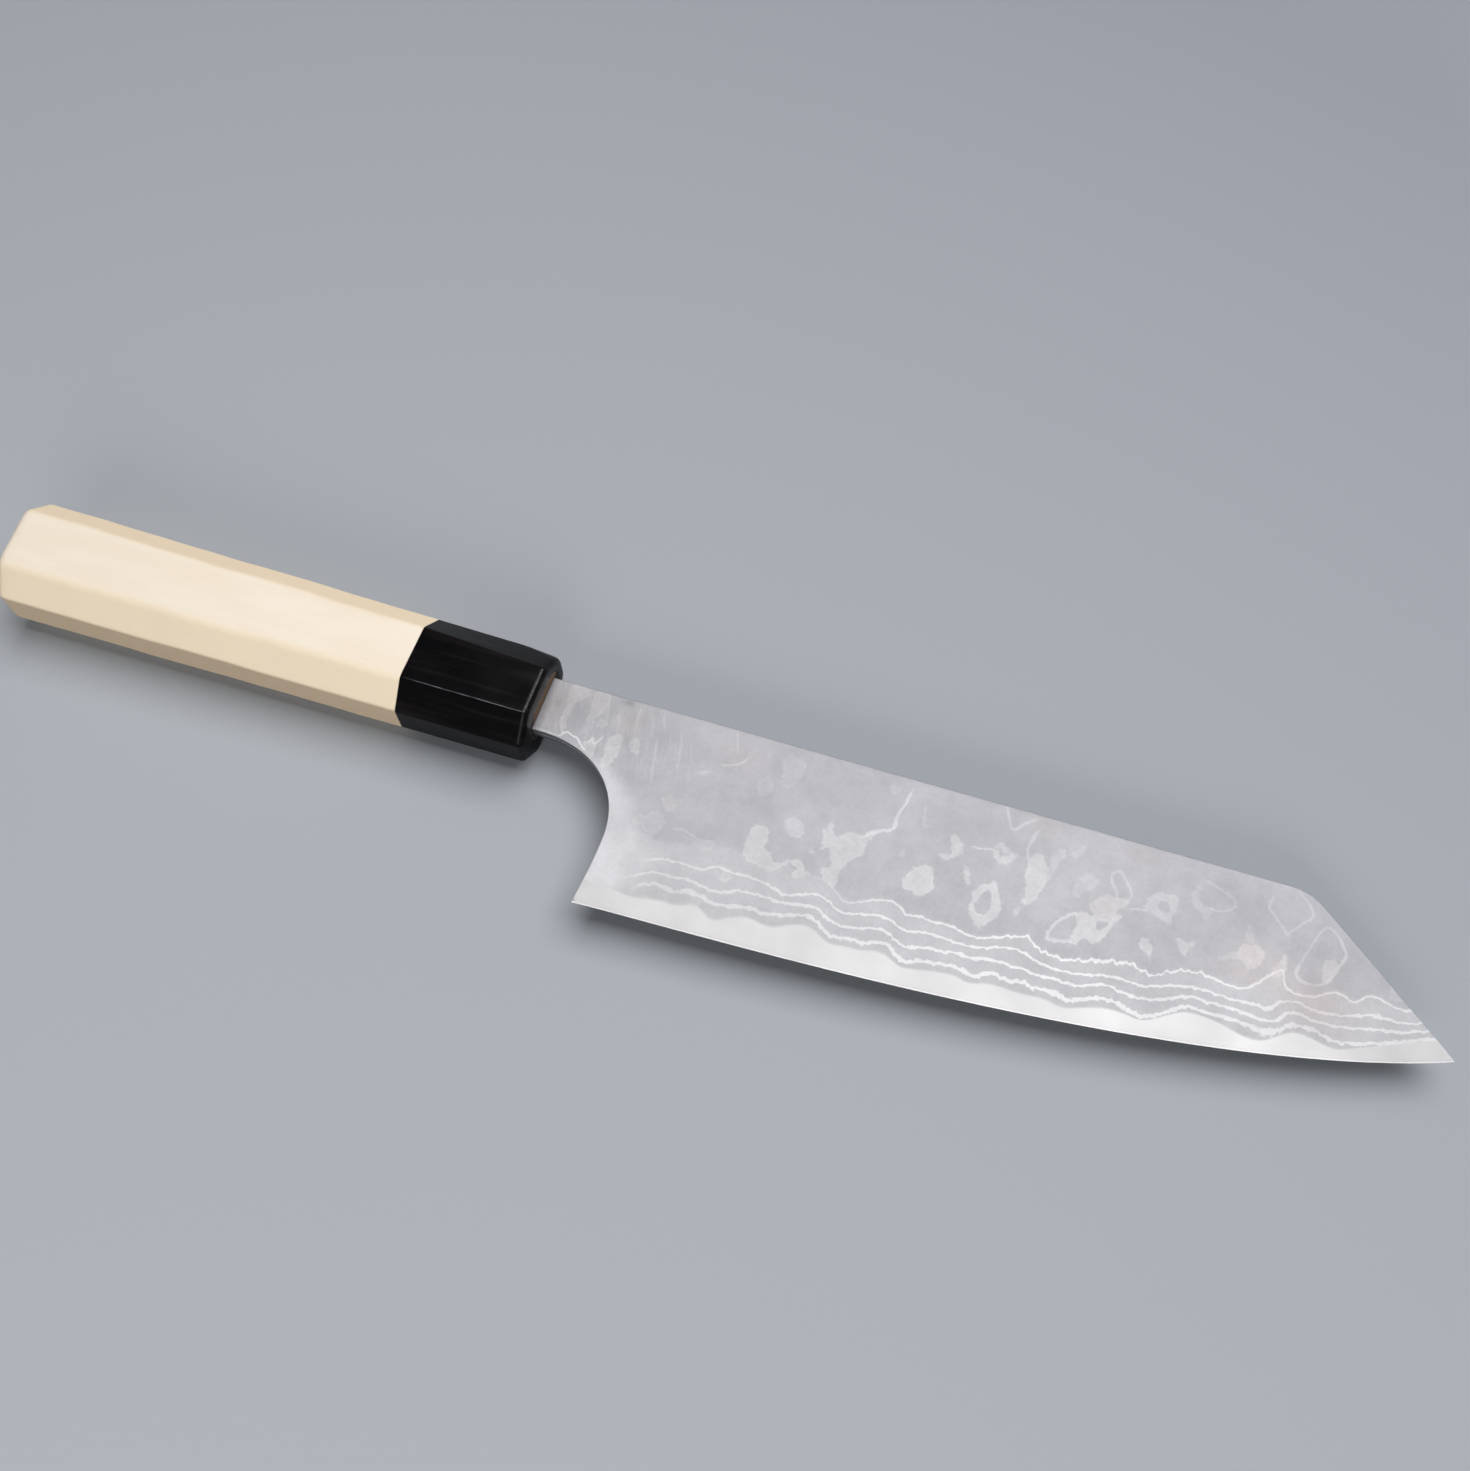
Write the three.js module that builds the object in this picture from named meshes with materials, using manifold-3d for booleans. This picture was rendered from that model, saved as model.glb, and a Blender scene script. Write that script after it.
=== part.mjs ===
// A bunka, the clip-pointed Japanese kitchen knife, with a three-ply blade and an octagonal handle.
// Knife frame: x runs from the ferrule's front face to the tip, y from the edge to the spine and
// z through the thickness, with the handle's axis at y = 0 and the blade's middle plane at z = 0.
import * as THREE from 'three';
import { mergeVertices } from 'three/addons/utils/BufferGeometryUtils.js';
import Module from 'manifold-3d';

// Driving dimensions in millimetres

// Handle: an octagon that grows from the ferrule's front face to the butt
const handleLength = 96.8;
const ferruleLength = 28.5;
const frontHeight = 23.2;
const frontThickness = 18.3;
const frontChamfer = 5.5;
const buttHeight = 25.7;
const buttThickness = 19.6;
const buttChamfer = 5.9;
const arris = 0.5;
const buttRound = 2.5;
const ferruleRound = 1.2;
// How much longer the handle is along its top than along its bottom, by the butt's slanted cut
const buttSlant = 2.4;
// How much an arris widens on a rounded end, as a share of the inset
const endSoftening = 0.9;

// Tenon: a round-cornered tongue through the ferrule and into the handle
const tenonHeight = 15.6;
const tenonThickness = 8.6;
const tenonCorner = 3.3;
const tenonInHandle = 20;
const tenonRecess = 0.1;

// Blade outline
const neckTop = 7.1;
const neckBottom = -5.8;
const neckStraight = 2;
const heelX = 21.2;
const heelY = -39;
const choilX = 22.5;
const choilY = -24;
const choilNeckReach = 12.5;
const choilFrontReach = 10.5;
const choilHeelReach = 6;
const tipX = 192;
const tipY = -17.2;
const cornerX = 161.3;
const cornerY = 8.6;
const cornerRound = 4;
const heelReach = 13.3;
const heelRise = 1.4;
const bellyReach = 52.4;
const bellyDrop = 20.4;

// Tang
const tangLength = 95;
const tangEndTop = 3.4;
const tangEndBottom = -2.6;

// Blade thickness at the spine, and the convex grind down to the edge
const tangEndThickness = 2.2;
const neckThickness = 3.0;
const cornerThickness = 1.5;
const tipThickness = 1.0;
const spineFlat = 3;
const tipGrind = 13;
const grindPower = 1.4;
const bevelHeight = 0.4;
const bevelThickness = 0.18;
const edgeThickness = 0.08;

// Core ply, as a share of the thickness: forging draws all plies down together
const coreShare = 0.27;

// Clearances
const glueLine = 0.1;
const tangClearance = 0.3;
const weldSeam = 0.02;

// Fineness of the curves, in steps
const edgeSteps = 20;
const faceSteps = 7;
const faceCrowding = 1.5;
const cornerSteps = 2;
const roundSteps = 4;
const outlineSteps = 14;
const mergeWithin = 1e-5;

// How far a cutting shape runs past what it cuts
const overrun = 5;
const beyondFace = 2 * neckThickness;

const wasm = await Module();
wasm.setup();

// Solids and cuts
function toSolid(geometry) {
  const bare = geometry.clone();
  bare.deleteAttribute('normal');
  bare.deleteAttribute('uv');
  const welded = mergeVertices(bare, mergeWithin);
  const vertProperties = new Float32Array(welded.attributes.position.array);
  const triVerts = new Uint32Array(welded.index.array);
  return new wasm.Manifold(new wasm.Mesh({ numProp: 3, vertProperties, triVerts }));
}

function toMesh(name, solid, look) {
  const { vertProperties, triVerts } = solid.getMesh();
  const geometry = new THREE.BufferGeometry();
  geometry.setAttribute('position', new THREE.BufferAttribute(vertProperties, 3));
  geometry.setIndex(new THREE.BufferAttribute(triVerts, 1));
  geometry.computeVertexNormals();
  const mesh = new THREE.Mesh(geometry, new THREE.MeshStandardMaterial(look));
  mesh.name = name;
  return mesh;
}

// A closed skin over rings of [y, z] points, each ring standing at its own x, upright or leaning
function loft(stations) {
  const count = stations[0].ring.length;
  const points = stations.flatMap(({ x, ring, lean = 0 }) => ring.map(([y, z]) => [x + lean * y, y, z]));
  const faces = [];
  for (let s = 0; s < stations.length - 1; s += 1) {
    for (let k = 0; k < count; k += 1) {
      const a = s * count + k;
      const b = s * count + ((k + 1) % count);
      faces.push([a, b, b + count], [a, b + count, a + count]);
    }
  }
  const last = (stations.length - 1) * count;
  const cap = (ring) => THREE.ShapeUtils.triangulateShape(ring.map(([y, z]) => new THREE.Vector2(y, z)), []);
  cap(stations[0].ring).forEach(([a, b, c]) => faces.push([a, c, b]));
  cap(stations.at(-1).ring).forEach(([a, b, c]) => faces.push([last + a, last + b, last + c]));
  const geometry = new THREE.BufferGeometry();
  geometry.setAttribute('position', new THREE.Float32BufferAttribute(points.flat(), 3));
  geometry.setIndex(faces.flat());
  return toSolid(geometry);
}

// A section drawn in y and z, carried along x
function prismAlongX(section, fromX, toX) {
  const geometry = new THREE.ExtrudeGeometry(section, {
    depth: toX - fromX,
    bevelEnabled: false,
    curveSegments: outlineSteps,
  });
  geometry.translate(0, 0, fromX);
  const xAxis = new THREE.Vector3(1, 0, 0);
  const yAxis = new THREE.Vector3(0, 1, 0);
  const zAxis = new THREE.Vector3(0, 0, 1);
  geometry.applyMatrix4(new THREE.Matrix4().makeBasis(yAxis, zAxis, xAxis));
  return toSolid(geometry);
}

function mix(from, to, share) {
  return from + (to - from) * share;
}

// Octagon of the handle at a place along it, all eight faces moved in by an inset
function handleRing(x, inset, lean = 0) {
  const share = -x / (ferruleLength + handleLength);
  const top = mix(frontHeight, buttHeight, share) / 2 - inset;
  const side = mix(frontThickness, buttThickness, share) / 2 - inset;
  const chamfer = mix(frontChamfer, buttChamfer, share) - inset * (2 - Math.SQRT2);
  const corners = [
    [top, chamfer - side],
    [top, side - chamfer],
    [top - chamfer, side],
    [chamfer - top, side],
    [-top, side - chamfer],
    [-top, chamfer - side],
    [chamfer - top, -side],
    [top - chamfer, -side],
  ].map(([y, z]) => new THREE.Vector2(y, z));
  const reach = arris + endSoftening * inset;
  const outline = new THREE.Path();
  corners.forEach((corner, k) => {
    const before = corners.at(k - 1).clone().sub(corner).setLength(reach).add(corner);
    const after = corners[(k + 1) % corners.length].clone().sub(corner).setLength(reach).add(corner);
    if (k === 0) {
      outline.moveTo(before.x, before.y);
    } else {
      outline.lineTo(before.x, before.y);
    }
    outline.quadraticCurveTo(corner.x, corner.y, after.x, after.y);
  });
  return { x, lean, ring: outline.getPoints(cornerSteps).map(({ x: y, y: z }) => [y, z]) };
}

// Stations of a quarter-round end: inset by the radius at the face, and by nothing a radius behind it
function roundedEnd(faceX, radius, inward, lean) {
  return Array.from({ length: roundSteps + 1 }, (_, k) => {
    const angle = (k / roundSteps) * (Math.PI / 2);
    const x = faceX + inward * radius * (1 - Math.cos(angle));
    return handleRing(x, radius * (1 - Math.sin(angle)), lean);
  });
}

// Blade: thickness along the spine
const thicknessMarks = [
  [-tangLength, tangEndThickness],
  [0, neckThickness],
  [cornerX, cornerThickness],
  [tipX, tipThickness],
];

function spineThickness(x) {
  const found = thicknessMarks.findIndex(([mark]) => mark >= x);
  const next = found < 0 ? thicknessMarks.length - 1 : Math.max(found, 1);
  const [x0, t0] = thicknessMarks[next - 1];
  const [x1, t1] = thicknessMarks[next];
  return mix(t0, t1, (x - x0) / (x1 - x0));
}

function spineY(x) {
  return mix(neckTop, cornerY, x / cornerX);
}

const edgeCurve = new THREE.CubicBezierCurve(
  new THREE.Vector2(heelX, heelY),
  new THREE.Vector2(heelX + heelReach, heelY + heelRise),
  new THREE.Vector2(tipX - bellyReach, tipY - bellyDrop),
  new THREE.Vector2(tipX, tipY),
);

// Height of the ground face above the edge: to near the spine, and less towards the point
function grindHeight(x, edgeY) {
  const full = spineY(Math.min(x, cornerX)) - edgeY - spineFlat;
  const pastCorner = Math.max(0, (x - cornerX) / (tipX - cornerX));
  return mix(full, tipGrind, pastCorner);
}

// Section of the blade: a small bevel at the edge, then a convex face, then flat to the spine
function bladeRing(x, edgeY) {
  const grind = grindHeight(x, edgeY);
  const spineHalf = spineThickness(x) / 2;
  const bevelHalf = bevelThickness / 2;
  const face = [[edgeY, edgeThickness / 2]];
  for (let k = 0; k <= faceSteps; k += 1) {
    const up = (k / faceSteps) ** faceCrowding;
    const swell = 1 - (1 - up) ** grindPower;
    face.push([edgeY + mix(bevelHeight, grind, up), mix(bevelHalf, spineHalf, swell)]);
  }
  face.push([spineY(x), spineHalf]);
  const otherFace = face.map(([y, z]) => [y, -z]);
  return { x, ring: [...otherFace, ...face.reverse()] };
}

function groundBlade() {
  const stations = [-tangLength - overrun, 0, heelX / 2].map((x) => bladeRing(x, heelY));
  edgeCurve.getPoints(edgeSteps).forEach((point) => stations.push(bladeRing(point.x, point.y)));
  const slope = edgeCurve.getTangent(1);
  stations.push(bladeRing(tipX + overrun, tipY + (overrun * slope.y) / slope.x));
  return loft(stations);
}

// Outline seen from the side; below the edge it runs clear of the blade
function bladeOutline() {
  const below = heelY - overrun;
  const corner = new THREE.Vector2(cornerX, cornerY);
  const tip = new THREE.Vector2(tipX, tipY);
  const clip = tip.clone().sub(corner).normalize();
  const beyondTip = clip.clone().multiplyScalar(overrun).add(tip);
  const clipStart = clip.clone().multiplyScalar(cornerRound).add(corner);
  const spineEnd = new THREE.Vector2(0, neckTop).sub(corner).setLength(cornerRound).add(corner);
  const outline = new THREE.Shape();
  outline.moveTo(-tangLength, tangEndBottom);
  outline.lineTo(0, neckBottom);
  outline.lineTo(neckStraight, neckBottom);
  const bendX = neckStraight + choilNeckReach;
  const bendY = choilY + choilFrontReach;
  outline.bezierCurveTo(bendX, neckBottom, choilX, bendY, choilX, choilY);
  outline.quadraticCurveTo(choilX, choilY - choilHeelReach, heelX, heelY);
  outline.lineTo(heelX, below);
  outline.lineTo(tipX + overrun, below);
  outline.lineTo(beyondTip.x, beyondTip.y);
  outline.lineTo(clipStart.x, clipStart.y);
  outline.quadraticCurveTo(cornerX, cornerY, spineEnd.x, spineEnd.y);
  outline.lineTo(0, neckTop);
  outline.lineTo(-tangLength, tangEndTop);
  outline.closePath();
  const geometry = new THREE.ExtrudeGeometry(outline, {
    depth: 2 * beyondFace,
    bevelEnabled: false,
    curveSegments: outlineSteps,
  });
  geometry.translate(0, 0, -beyondFace);
  return toSolid(geometry);
}

// A layer of the billet between two heights over the middle plane, each a function of x
function billetLayer(lower, upper) {
  const bends = thicknessMarks.slice(1, -1).map(([x]) => x);
  const marks = [-tangLength - 2 * overrun, ...bends, tipX + 2 * overrun];
  const reach = cornerY - heelY + neckTop;
  return loft(marks.map((x) => ({
    x,
    ring: [[-reach, lower(x)], [reach, lower(x)], [reach, upper(x)], [-reach, upper(x)]],
  })));
}

function coreHalf(x) {
  return (coreShare * spineThickness(x)) / 2;
}

const blade = groundBlade().intersect(bladeOutline());
const seam = (x) => coreHalf(x) + weldSeam;
const core = blade.intersect(billetLayer((x) => -coreHalf(x), coreHalf));
const claddingRight = blade.intersect(billetLayer(seam, () => beyondFace));
const claddingLeft = blade.intersect(billetLayer(() => -beyondFace, (x) => -seam(x)));

// Handle pieces
const neckMiddle = (neckTop + neckBottom) / 2;

function tenonSection(grow) {
  const top = tenonHeight / 2 + grow;
  const side = tenonThickness / 2 + grow;
  const corner = tenonCorner + grow;
  const section = new THREE.Shape();
  section.moveTo(neckMiddle + top - corner, side);
  section.lineTo(neckMiddle - top + corner, side);
  section.absarc(neckMiddle - top + corner, side - corner, corner, Math.PI / 2, Math.PI);
  section.lineTo(neckMiddle - top, corner - side);
  section.absarc(neckMiddle - top + corner, corner - side, corner, Math.PI, Math.PI * 1.5);
  section.lineTo(neckMiddle + top - corner, -side);
  section.absarc(neckMiddle + top - corner, corner - side, corner, Math.PI * 1.5, Math.PI * 2);
  section.lineTo(neckMiddle + top, side - corner);
  section.absarc(neckMiddle + top - corner, side - corner, corner, 0, Math.PI / 2);
  return section;
}

// The burnt-in hole that the tang fills, clear of it all round
function tangHole() {
  const rectangle = (x) => {
    const share = -x / tangLength;
    const top = mix(neckTop, tangEndTop, share) + tangClearance;
    const bottom = mix(neckBottom, tangEndBottom, share) - tangClearance;
    const half = mix(neckThickness, tangEndThickness, share) / 2 + tangClearance;
    return { x, ring: [[bottom, -half], [top, -half], [top, half], [bottom, half]] };
  };
  return loft([rectangle(-tangLength - tangClearance), rectangle(0)]);
}

function makeFerrule() {
  const body = loft([handleRing(-ferruleLength, 0), ...roundedEnd(0, ferruleRound, -1).reverse()]);
  return body.subtract(prismAlongX(tenonSection(glueLine), -ferruleLength - overrun, overrun));
}

function makeTenon() {
  const back = -ferruleLength - tenonInHandle;
  return prismAlongX(tenonSection(0), back, -tenonRecess).subtract(tangHole());
}

function makeHandleBody() {
  const buttX = -ferruleLength - handleLength;
  const frontX = -ferruleLength - glueLine;
  const lean = -buttSlant / buttHeight;
  const body = loft([...roundedEnd(buttX, buttRound, 1, lean), handleRing(frontX, 0)]);
  const mortiseX = -ferruleLength - tenonInHandle - glueLine;
  const mortise = prismAlongX(tenonSection(glueLine), mortiseX, -ferruleLength + overrun);
  return body.subtract(mortise).subtract(tangHole());
}

const steel = { color: 0xe4e4e6, roughness: 0.3, metalness: 1 };
const damascus = { color: 0xbcbcc2, roughness: 0.42, metalness: 1 };
const horn = { color: 0x1b1a1c, roughness: 0.25, metalness: 0 };
const paleWood = { color: 0xecdcc2, roughness: 0.6, metalness: 0 };
const brownWood = { color: 0x8a6448, roughness: 0.7, metalness: 0 };

const knife = new THREE.Group();
knife.add(
  toMesh('core_steel', core, steel),
  toMesh('cladding_right', claddingRight, damascus),
  toMesh('cladding_left', claddingLeft, damascus),
  toMesh('ferrule', makeFerrule(), horn),
  toMesh('tenon', makeTenon(), brownWood),
  toMesh('handle_body', makeHandleBody(), paleWood),
);

// The knife lies on the handle's lower face, with the origin under the middle of its box
knife.rotation.y = Math.atan((buttThickness - frontThickness) / 2 / (ferruleLength + handleLength));
knife.updateMatrixWorld(true);
const box = new THREE.Box3().setFromObject(knife, true);
const middle = box.getCenter(new THREE.Vector3());
knife.position.set(-middle.x, -middle.y, -box.min.z);

export default knife;
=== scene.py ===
import bmesh
import bpy
import numpy as np
from math import comb
from mathutils import Matrix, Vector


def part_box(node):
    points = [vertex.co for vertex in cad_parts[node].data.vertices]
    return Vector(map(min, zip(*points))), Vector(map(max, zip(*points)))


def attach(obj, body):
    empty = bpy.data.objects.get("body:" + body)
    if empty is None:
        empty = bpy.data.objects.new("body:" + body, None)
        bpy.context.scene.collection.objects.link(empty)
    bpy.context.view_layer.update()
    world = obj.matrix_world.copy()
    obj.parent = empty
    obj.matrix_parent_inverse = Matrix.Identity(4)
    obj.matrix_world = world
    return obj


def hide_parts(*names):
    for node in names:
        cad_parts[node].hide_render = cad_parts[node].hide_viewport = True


# A bunka kitchen knife lying on its side: layered steel blade, black horn ferrule, pale octagonal handle.
# Shapes are worked out in knife millimetres: x from the ferrule's front face to the tip, y from edge to
# spine, z through the thickness. place() then carries them into the frame's metres.
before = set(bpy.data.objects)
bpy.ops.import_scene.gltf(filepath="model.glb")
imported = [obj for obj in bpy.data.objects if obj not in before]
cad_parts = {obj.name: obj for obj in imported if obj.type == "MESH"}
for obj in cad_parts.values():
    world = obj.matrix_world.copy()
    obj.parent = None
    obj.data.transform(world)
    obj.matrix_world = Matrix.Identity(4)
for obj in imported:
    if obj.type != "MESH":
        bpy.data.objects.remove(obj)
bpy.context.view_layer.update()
mm = 0.001
print("frame loaded:", ", ".join(sorted(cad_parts)))

# octagon of the handle, in millimetres, from the ferrule's front face to the butt
handle = {
    "woodLength": 96.8,
    "ferruleLength": 28.5,
    "frontHeight": 23.2,
    "buttHeight": 25.7,
    "frontThickness": 18.3,
    "buttThickness": 19.6,
    "frontChamfer": 5.5,
    "buttChamfer": 5.9,
    "arris": 0.5,
    "ferruleRound": 1.2,
    "buttRound": 2.5,
    "buttSlant": 2.4,
    "soften": 0.9,
}
handleReach = handle["ferruleLength"] + handle["woodLength"]

# the knife lies on the handle's lower face, so it is turned by half of the handle's taper
tilt = np.arctan((handle["buttThickness"] - handle["frontThickness"]) / 2 / handleReach)
ferruleLow, ferruleHigh = (np.array(corner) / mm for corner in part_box("ferrule"))
faceHalf = handle["frontThickness"] / 2 - handle["ferruleRound"]
knifeOrigin = np.array([
    ferruleHigh[0] - faceHalf * np.sin(tilt),
    (ferruleLow[1] + ferruleHigh[1]) / 2,
    handle["frontThickness"] / 2 * np.cos(tilt),
])


# a turn about y by the tilt
def turned(points):
    x, y, z = np.moveaxis(np.asarray(points, float), -1, 0)
    return np.stack([x * np.cos(tilt) + z * np.sin(tilt), y, z * np.cos(tilt) - x * np.sin(tilt)], -1)


# the turn, then the shift to where the frame has the ferrule's front face, in metres
def place(points):
    return (turned(points) + knifeOrigin) * mm


# start + (end - start) times the share
def mixed(start, end, share):
    return start + (end - start) * share


# 3s^2 - 2s^3 of the share s between low and high
def smoothStep(low, high, value):
    share = np.clip((value - low) / (high - low), 0, 1)
    return share * share * (3 - 2 * share)


# sum over k of comb(n, k) (1-t)^(n-k) t^k times control point k
def bezier(controls, t):
    degree = len(controls) - 1
    weights = np.stack([comb(degree, k) * (1 - t) ** (degree - k) * t ** k for k in range(degree + 1)], -1)
    return weights @ np.asarray(controls, float)


# corner cutting, twice: each leg of a line gives its points at one and three quarters; an open line keeps
# its ends
def smoothed(points, closed):
    points = np.array(points, float)
    for again in range(2):
        start, end = (points, np.roll(points, -1, 0)) if closed else (points[:-1], points[1:])
        cut = np.stack([mixed(start, end, 0.25), mixed(start, end, 0.75)], 1).reshape(-1, 2)
        points = cut if closed else np.vstack([points[0], cut, points[-1]])
    return np.vstack([points, points[0]]) if closed else points


# an object in the scene, made from its data
def putInScene(name, data):
    thing = bpy.data.objects.new(name, data)
    bpy.context.scene.collection.objects.link(thing)
    return thing


# the matrix of a lamp or the camera: its columns are the ways that its right, top and back point, and its
# place in metres
def standing(axes, at):
    matrix = np.eye(4)
    matrix[:3, :3] = np.transpose(axes)
    matrix[:3, 3] = at
    return Matrix(matrix.tolist())


skinning = {"mergeWithin": 0.002, "sharpAngle": 38}   # mm, degrees


# a skin over rings of points, shape (rings, around, 3): quads join neighbours, and the rings either
# end in flat caps or, when looped, the last joins the first; points that fall together are merged
def skin(name, rings, attributes, looped=False):
    count, around = rings.shape[:2]
    ringIndex = np.arange(count if looped else count - 1)[:, None]
    pointIndex = np.arange(around)[None, :]
    nextRing = (ringIndex + 1) % count
    nextPoint = (pointIndex + 1) % around
    corners = [
        ringIndex * around + pointIndex,
        ringIndex * around + nextPoint,
        nextRing * around + nextPoint,
        nextRing * around + pointIndex,
    ]
    faces = np.stack(np.broadcast_arrays(*corners), -1).reshape(-1, 4).tolist()
    if not looped:
        faces.append(list(range(around)))
        faces.append(list(range((count - 1) * around, count * around)))
    mesh = bpy.data.meshes.new(name)
    mesh.from_pydata(place(rings).reshape(-1, 3), [], faces)
    for key, values in attributes.items():
        layer = mesh.attributes.new(key, "FLOAT", "POINT")
        layer.data.foreach_set("value", np.asarray(values, np.float32).ravel())
    clean = bmesh.new()
    clean.from_mesh(mesh)
    bmesh.ops.remove_doubles(clean, verts=clean.verts, dist=skinning["mergeWithin"] * mm)
    bmesh.ops.recalc_face_normals(clean, faces=clean.faces)
    clean.to_mesh(mesh)
    clean.free()
    mesh.polygons.foreach_set("use_smooth", np.ones(len(mesh.polygons), bool))
    mesh.set_sharp_from_angle(angle=np.radians(skinning["sharpAngle"]))
    return putInScene(name, mesh)


# puts a piece in place of a CAD node, with that node's finish
def dress(piece, node, material):
    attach(piece, "root")
    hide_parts(node)
    piece.data.materials.append(material)


# sRGB hex to linear colour
def linear(hexColour):
    shares = np.array([int(hexColour[k:k + 2], 16) for k in (1, 3, 5)]) / 255
    return (*np.where(shares <= 0.04045, shares / 12.92, ((shares + 0.055) / 1.055) ** 2.4), 1.0)


# sets a node's inputs: each is a value, or the socket that feeds it
def feed(tree, node, inputs):
    for key, value in inputs.items():
        if isinstance(value, bpy.types.NodeSocket):
            tree.links.new(value, node.inputs[key])
        else:
            node.inputs[key].default_value = value


# adds one node with its settings and links, and gives back one of its outputs
def addNode(tree, kind, inputs, output=0, **settings):
    node = tree.nodes.new("ShaderNode" + kind)
    for key, value in settings.items():
        setattr(node, key, value)
    feed(tree, node, inputs)
    return node.outputs[output]


# how many features of this many millimetres there are in a metre; with three sizes, along x, y and z
def perMetre(*sizes):
    counts = [1 / (size * mm) for size in sizes]
    return counts[0] if len(counts) == 1 else counts


# a material, its node tree, its shader and the place on the piece
def newMaterial(name):
    material = bpy.data.materials.new(name)
    material.use_nodes = True
    tree = material.node_tree
    return material, tree, tree.nodes["Principled BSDF"], addNode(tree, "TexCoord", {}, "Object")


noiseSpan = {"From Min": 0.3, "From Max": 0.7}   # where most of a noise lies
throughSteel = 10   # mm, so long that a pattern hardly changes through the blade

# Damascus cladding: soft layers etched grey, with thin bright layers between them that the acid spares.
# The piece's own attributes say where the grind lays each layer open; see layersUp and the fields after it.
damascus = {
    "plateau": "#909094",
    "betweenLines": "#98989b",
    "besideCore": "#a6a6a8",
    "darkBand": "#98989a",
    "line": "#b2b2b4",
    "island": "#9e9d9f",
    "polished": "#afaeb1",
    "warm": "#9b9290",
    "greyLayers": 5,
    "greys": ((0, "besideCore"), (0.25, "darkBand"), (0.85, "darkBand"), (1.05, "betweenLines"),
              (3.95, "betweenLines"), (4.35, "plateau")),   # by layers up from the core
    "clouds": ((14, 0.05), (4, 0.05), (0.8, 0.03)),   # mm and depth of the mottling that the acid leaves
    "streak": (1.1, 8),     # mm, width and length of the layers cut across near the neck
    "streakTurn": 16,       # degrees that they lean
    "streakDepth": 0.6,
    "streakShades": ((0.53, 0.68, "island"), (0.47, 0.32, "darkBand")),   # noise where one starts, is full
    "shore": 1.6,           # mm, length of the bays in an island's shore
    "shoreSpan": (0.25, 0.75),
    "shoreDepth": 0.55,     # mm, how far they reach in
    "shoreSoft": 0.3,       # mm, how far the shore fades to either side
    "whiteShore": 0.12,     # share of white along it
    "whiteAt": 0.15,        # mm in from it
    "whiteSoft": (0.05, 0.4),   # mm to either side, between which the white fades
    "blotch": 1.4,          # mm, uneven brightness within an island
    "blotchShade": (0.65, 1.15),
    "whiteRim": 0.48,       # share of white in a rim
    "rimSoft": (0.5, 1.5),  # half widths between which its side fades
    "rimBays": 2.0,         # how much of the shore's bays it takes
    "waver": (0.9, 4, 0.6),     # a bright line's small bends: mm, detail and depth in half widths
    "lineGrain": (1.3, 5, 0.5),     # its thick and thin places, in the same way
    "lineSoft": 0.35,       # share of its half width over which its side fades
    "stainShade": (0.4, 1.2),
    "scratch": (0.3, 12),   # mm, marks of the stone, drawn coarser than the real ones so that they show
    "scratchDepth": 0.25,   # as a share of the etching
    "scratchGloss": 0.06,
    "etching": 0.015,       # mm
    "roughness": (0.52, 0.50),   # etched layers, bright layers
}


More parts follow.
